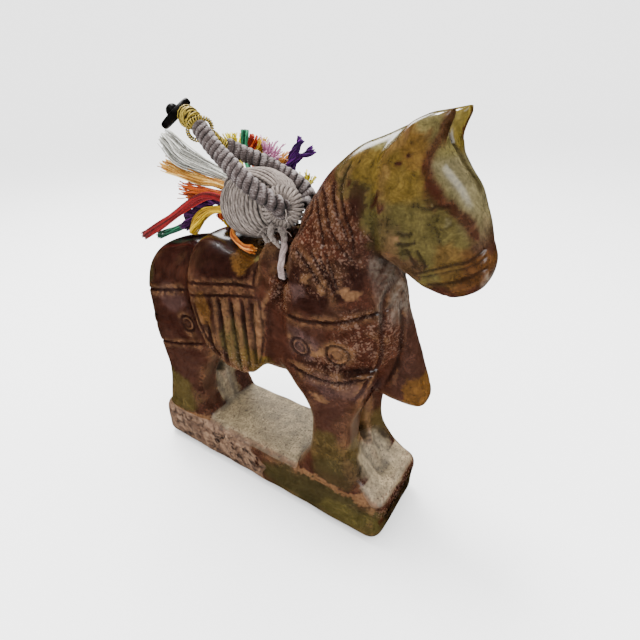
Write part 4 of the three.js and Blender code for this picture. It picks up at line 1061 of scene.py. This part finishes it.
# Cast black resin, IOR 1.5: a soft gloss with fine rubbed marks.
black_resin, tree, shader = new_material("black_resin", {"IOR": 1.5, "Specular IOR Level": 0.12})
place = add_node(tree, "TexCoord").outputs["Object"]
rubbed = add_node(tree, "TexNoise", {"Vector": place, "Scale": 900.0, "Detail": 4.0})
colour = add_node(tree, "ValToRGB", {0: rubbed}, [(0.35, linear("#040303")), (0.75, linear("#0d0b0a"))])
gloss = add_node(tree, "Math", {0: rubbed, 1: 0.3, 2: 0.22}, operation="MULTIPLY_ADD")
feed(shader, {"Base Color": colour, "Roughness": gloss})
button.data.materials.clear()
button.data.materials.append(black_resin)
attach(button, "root")
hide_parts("button")

# Yarn ends
# Behind the ball the core's yarns come out in a tassel: soft spun wool and rayon, some twisted, some combed open.
# Each is (slot, dark, mid and light colour, strands, plies, fray, points with the bundle's radius there).
YARNS = {
    "silver": ("yarn_silver", "#4a4946", "#8c8b83", "#d4d3cb", 120, 1, 0.5, [
        (-9.9, 3.5, 105.5, 1.2), (-18, 4, 107.8, 1.7), (-27.5, 3.6, 110.2, 2.8), (-34.6, 2, 113.2, 3.4),
        (-38.5, 0.8, 117.4, 2.3), (-41.4, 0, 120, 1.5)]),
    "peach": ("yarn_orange", "#6f3f12", "#b0802f", "#e2c47c", 80, 1, 0.6, [
        (-9.8, 0.6, 104.4, 1.2), (-18.7, 0.6, 106, 1.3), (-25, 0.8, 106.3, 1.6), (-31.8, 1, 107.2, 1.9),
        (-38.1, 1, 108.8, 2.1), (-44.7, 1, 110.2, 1.9)]),
    "orange": ("yarn_orange", "#611b05", "#a8470c", "#d58836", 80, 1, 0.9, [
        (-8.7, -1.4, 103.4, 1.2), (-17.4, -1.4, 103.4, 1.4), (-24.2, -1, 103.2, 2.1),
        (-33.5, -1, 102.4, 2.8)]),
    "red": ("yarn_red", "#2a0303", "#66040a", "#94100c", 60, 1, 0.6, [
        (-8.5, -4.3, 102.4, 1), (-16.9, -4.3, 103.7, 1.1), (-23.4, -4.3, 101.8, 1.5),
        (-33.6, -4.1, 96.3, 1.4), (-45.5, -3.7, 90, 1.3), (-58.2, -3.7, 83.8, 1.1)]),
    "purple": ("yarn_purple", "#100414", "#350a3a", "#5e2768", 60, 2, 0.15, [
        (-9.6, -1.2, 100.6, 1.1), (-17.9, -1.6, 101.3, 1.2), (-26.9, -1.6, 98.4, 1.9),
        (-32.4, -1.9, 93.4, 2.1), (-35.4, -2, 88.9, 1.6)]),
    "yellow": ("yarn_yellow", "#523b05", "#937005", "#c6a614", 60, 1, 0.1, [
        (-9.5, -2.6, 99.4, 1.1), (-16.7, -2.8, 99.2, 1.2), (-22.3, -3, 97.2, 1.7), (-26.2, -4, 93.4, 1.8),
        (-28.6, -4.4, 89.4, 1.2)]),
    "red_short": ("yarn_red", "#520806", "#941d07", "#c65c14", 40, 1, 0.3, [
        (-9.6, 3.8, 97.5, 0.9), (-16.8, 4.4, 96.8, 0.9), (-21.9, 4.8, 94.7, 1.5), (-22.8, 3, 93.1, 1.4)]),
    "yellow_short": ("yarn_yellow", "#523b05", "#937005", "#c6a614", 36, 1, 0.3, [
        (-9.5, 0.6, 96, 0.9), (-15, 0.8, 94.9, 1.3), (-16.4, -0.9, 93.7, 1.2)]),
    "green": ("yarn_green", "#052817", "#0f4a33", "#34805d", 36, 1, 0.7, [
        (-9.7, 6, 99.6, 0.8), (-19.8, 6.6, 98.4, 0.8), (-31.2, 6.4, 94.1, 1.2), (-37.8, 1.4, 89.9, 1.3),
        (-46.8, 0.4, 86.2, 1.2), (-53.2, -2.4, 83.9, 1.1)]),
    "seat_orange": ("yarn_orange", "#6a2a08", "#b4671c", "#e0b070", 40, 1, 0.7, [
        (-10.4, -2, 95.3, 0.6), (-8.5, -5.3, 93.1, 0.7), (-2.4, -8, 91.5, 0.75), (4.2, -9.8, 91.8, 0.9)]),
    "far_yellow": ("yarn_yellow", "#716205", "#aa960a", "#e2d94a", 60, 1, 1.0, [
        (-9.5, 5, 105.5, 0.8), (-18.1, 10.6, 110.5, 1), (-20.5, 12.6, 114.6, 1.7), (-20.7, 13, 120.3, 2.6)]),
    "far_green": ("yarn_green", "#052a18", "#105236", "#3a8c64", 40, 1, 0.3, [
        (-7.7, 5.6, 106.2, 0.7), (-15, 10.9, 110.6, 0.8), (-17, 12.8, 114.7, 1.1), (-16.4, 13, 121.4, 1.3)]),
    "far_red": ("yarn_red", "#530805", "#92200a", "#c6561c", 36, 1, 0.4, [
        (-6, 6, 106.4, 0.7), (-12.5, 11.3, 110.7, 0.8), (-14.5, 13, 114.7, 1.2), (-12.4, 13.4, 119.4, 1.6)]),
    "far_gold": ("yarn_yellow", "#6a4805", "#ab800a", "#dabb2c", 36, 1, 0.4, [
        (-4.4, 6.2, 106.7, 0.7), (-10.2, 11.6, 110.3, 0.8), (-11.6, 13.2, 114, 1.2),
        (-9.2, 13.4, 118.6, 1.7)]),
    "far_pink": ("yarn_pink", "#6c4058", "#b17294", "#e3bfd0", 60, 1, 1.3, [
        (-2.5, 6.4, 106.5, 0.7), (-7.1, 12, 109.4, 1), (-8, 13.2, 112.6, 1.9), (-4.5, 13.4, 116.9, 3.2)]),
    "far_orange": ("yarn_orange", "#7a4010", "#b97a32", "#e2b473", 36, 1, 0.9, [
        (-0.8, 6.4, 104.8, 0.7), (-3.5, 12.6, 107.5, 0.9), (-3, 13.4, 111.1, 1.3), (0.6, 13.6, 113.4, 1.9)]),
    "far_purple": ("yarn_purple", "#1a0430", "#3d0a50", "#6b2a84", 36, 2, 0.1, [
        (1.5, 6, 103.8, 0.8), (-0.6, 12.4, 107, 0.9), (0.7, 12.8, 112.2, 1.1), (3.1, 12.8, 116.1, 1.2),
        (5.5, 12.8, 119.6, 1.3)]),
    "far_purple_two": ("yarn_purple", "#1a0430", "#3d0a50", "#6b2a84", 36, 2, 0.1, [
        (2.8, 6, 103.8, 0.8), (-0.2, 13.2, 107.4, 0.9), (2.1, 13.9, 112.6, 1.1), (5.8, 13.9, 114.5, 1.2),
        (9.6, 13.6, 116.3, 1.2)]),
    "far_lemon": ("yarn_yellow", "#716205", "#b3a31c", "#e2d964", 36, 1, 1.0, [
        (4, 5.4, 102.2, 0.7), (5.5, 11.4, 103.2, 0.9), (5.9, 13.2, 106.1, 1.3), (7.1, 13.6, 109.3, 1.9)]),
}
STRAND_RADIUS, TWIST_LENGTH, STRAND_STEPS, STRAND_SIDES = 0.27, 13, 20, 5


def dyed_yarn(name, dark, mid, light):
    # Dyed yarn: matt, each strand a little lighter or darker than the next, the inner strands painted darker as shade,
    # with a soft fuzz.
    material, tree, shader = new_material(name, {"Roughness": 0.75, "Sheen Weight": 0.05, "Sheen Roughness": 0.4,
                                                 "Specular IOR Level": 0.12})
    tone = add_node(tree, "SeparateColor", {0: add_node(tree, "Attribute", attribute_name="tone")})
    place = add_node(tree, "TexCoord").outputs["Object"]
    fuzz = add_node(tree, "TexNoise", {"Vector": place, "Scale": 1400.0, "Detail": 3.0})
    shade = -0.1
    for source, share in ((tone, 0.75), (fuzz, 0.5)):
        shade = add_node(tree, "Math", {0: source, 1: share, 2: shade}, operation="MULTIPLY_ADD")
    colour = add_node(tree, "ValToRGB", {0: shade}, [(0.1, linear(dark)), (0.5, linear(mid)), (0.9, linear(light))])
    bump = add_node(tree, "Bump", {"Strength": 0.3, "Distance": 0.0001, "Height": fuzz})
    feed(shader, {"Base Color": colour, "Normal": bump})
    return material


def yarn_strands(points, strands, plies, fray, seed):
    # Many fine strands along a bundle's path. They keep to its outline and stray from it towards the tip.
    chance = np.random.default_rng(seed)
    path, length = along(points, STRAND_STEPS)
    _, first, second = across(path[:, :3], (0.1, 0.5, 0.86))
    reach = path[:, 3:]
    t = np.linspace(0, 1, STRAND_STEPS)[:, None]
    parts, tones = [], []
    for k in range(strands):
        own = chance.uniform(0, 2 * np.pi)
        out = math.sqrt(chance.random()) * (0.85 if plies == 1 else 0.5)
        twist = (length / TWIST_LENGTH * 2 * np.pi if plies > 1 else chance.uniform(-0.8, 0.8)) * t
        ply = 2 * np.pi * (k % plies) / plies
        a = out * np.cos(own + twist) + (0.5 * np.cos(ply + twist) if plies > 1 else 0)
        b = out * np.sin(own + twist) + (0.5 * np.sin(ply + twist) if plies > 1 else 0)
        stray = fray * t ** 3 * chance.normal(0, 0.8, 2)
        wave = 0.14 * np.sin(t * chance.uniform(6, 16) + chance.uniform(0, 6)) * (0.4 + t)
        end = 1 - 0.14 * fray * chance.random()
        at = path[:, :3] + first * ((a + stray[:, :1]) * reach + wave) + second * ((b + stray[:, 1:]) * reach - wave)
        at = along(at[:max(4, int(STRAND_STEPS * end))], STRAND_STEPS)[0]
        size = STRAND_RADIUS * chance.uniform(0.75, 1.25) * np.linspace(1, 0.7, STRAND_STEPS)
        parts.append(tube(at, size, STRAND_SIDES))
        tone = np.ones((STRAND_STEPS, STRAND_SIDES, 4))
        # Strands towards the bundle's outside are painted lighter and those inside darker, as shade, besides a random
        # difference.
        tone[..., 0] = np.clip(0.1 + 0.5 * out + chance.normal(0, 0.28), 0, 1)
        tone[..., 1] = chance.random()
        tone[..., 2] = t
        tone = tone.reshape(-1, 4)
        tones.append(np.vstack([tone, tone[:1], tone[-1:]]))
    return gather(parts), np.vstack(tones)


for number, (name, (slot, dark, mid, light, strands, plies, fray, points)) in enumerate(YARNS.items()):
    dyed = dyed_yarn(name + "_yarn", dark, mid, light)
    shape, tones = yarn_strands(points, strands, plies, fray, 100 + number)
    piece("tassel_" + name, shape, tones, dyed, "yarn_" + name.removesuffix("_two"))

# Paper
# A sheet of white paper lies under the horse and curves up behind it.
SWEEP = [(-2.2, 0.0), (1.0, 0.0), (1.16, 0.013), (1.3, 0.05), (1.42, 0.108), (1.52, 0.19), (1.6, 0.29), (1.65, 0.4),
         (1.67, 0.55), (1.67, 2.6)]
PAPER_HALF_WIDTH, PAPER_DROP = 3, 0.0002
mesh = bpy.data.meshes.new("white_paper")
way = Vector((-math.sin(CAMERA_TURN), math.cos(CAMERA_TURN), 0))
side = Vector((0, 0, 1)).cross(way) * PAPER_HALF_WIDTH
mesh.from_pydata([tuple(way * run + Vector((0, 0, height - PAPER_DROP)) + side * end)
                  for run, height in SWEEP for end in (-1, 1)],
                 [], [(2 * k, 2 * k + 1, 2 * k + 3, 2 * k + 2) for k in range(len(SWEEP) - 1)])
mesh.polygons.foreach_set("use_smooth", [True] * len(mesh.polygons))
floor = bpy.data.objects.new("white_paper", mesh)
bpy.context.collection.objects.link(floor)
paper, _, _ = new_material("white_paper", {"Base Color": linear("#fdfdfd"), "Roughness": 0.9,
                                           "Specular IOR Level": 0.1})
floor.data.materials.append(paper)

# Studio light
# A white tent lights the horse evenly. Only the three lamps are mirrored in its polish, as behind a polarising
# filter. Each lamp is (name, place, size, power).
LAMPS = [("overhead", (-0.10, 0.02, 0.60), 0.13, 4.5), ("behind", (-0.34, 0.25, 0.44), 0.24, 2.0),
         ("face_side", (0.62, -0.10, 0.50), 0.36, 1.6)]
TENT_LIGHT, LAMP_AIM = 3.0, (0, 0, 0.06)
world = bpy.data.worlds.new("studio")
world.use_nodes = True
feed(world.node_tree.nodes["Background"], {0: (1, 1, 1, 1), 1: TENT_LIGHT})
bpy.context.scene.world = world
world.cycles_visibility.glossy = False
floor.visible_glossy = False
for name, place, size, power in LAMPS:
    lamp = bpy.data.lights.new(name, "AREA")
    lamp.size = size
    lamp.energy = power
    thing = bpy.data.objects.new(name, lamp)
    thing.location = place
    thing.rotation_euler = (Vector(place) - Vector(LAMP_AIM)).to_track_quat("Z", "Y").to_euler()
    bpy.context.collection.objects.link(thing)
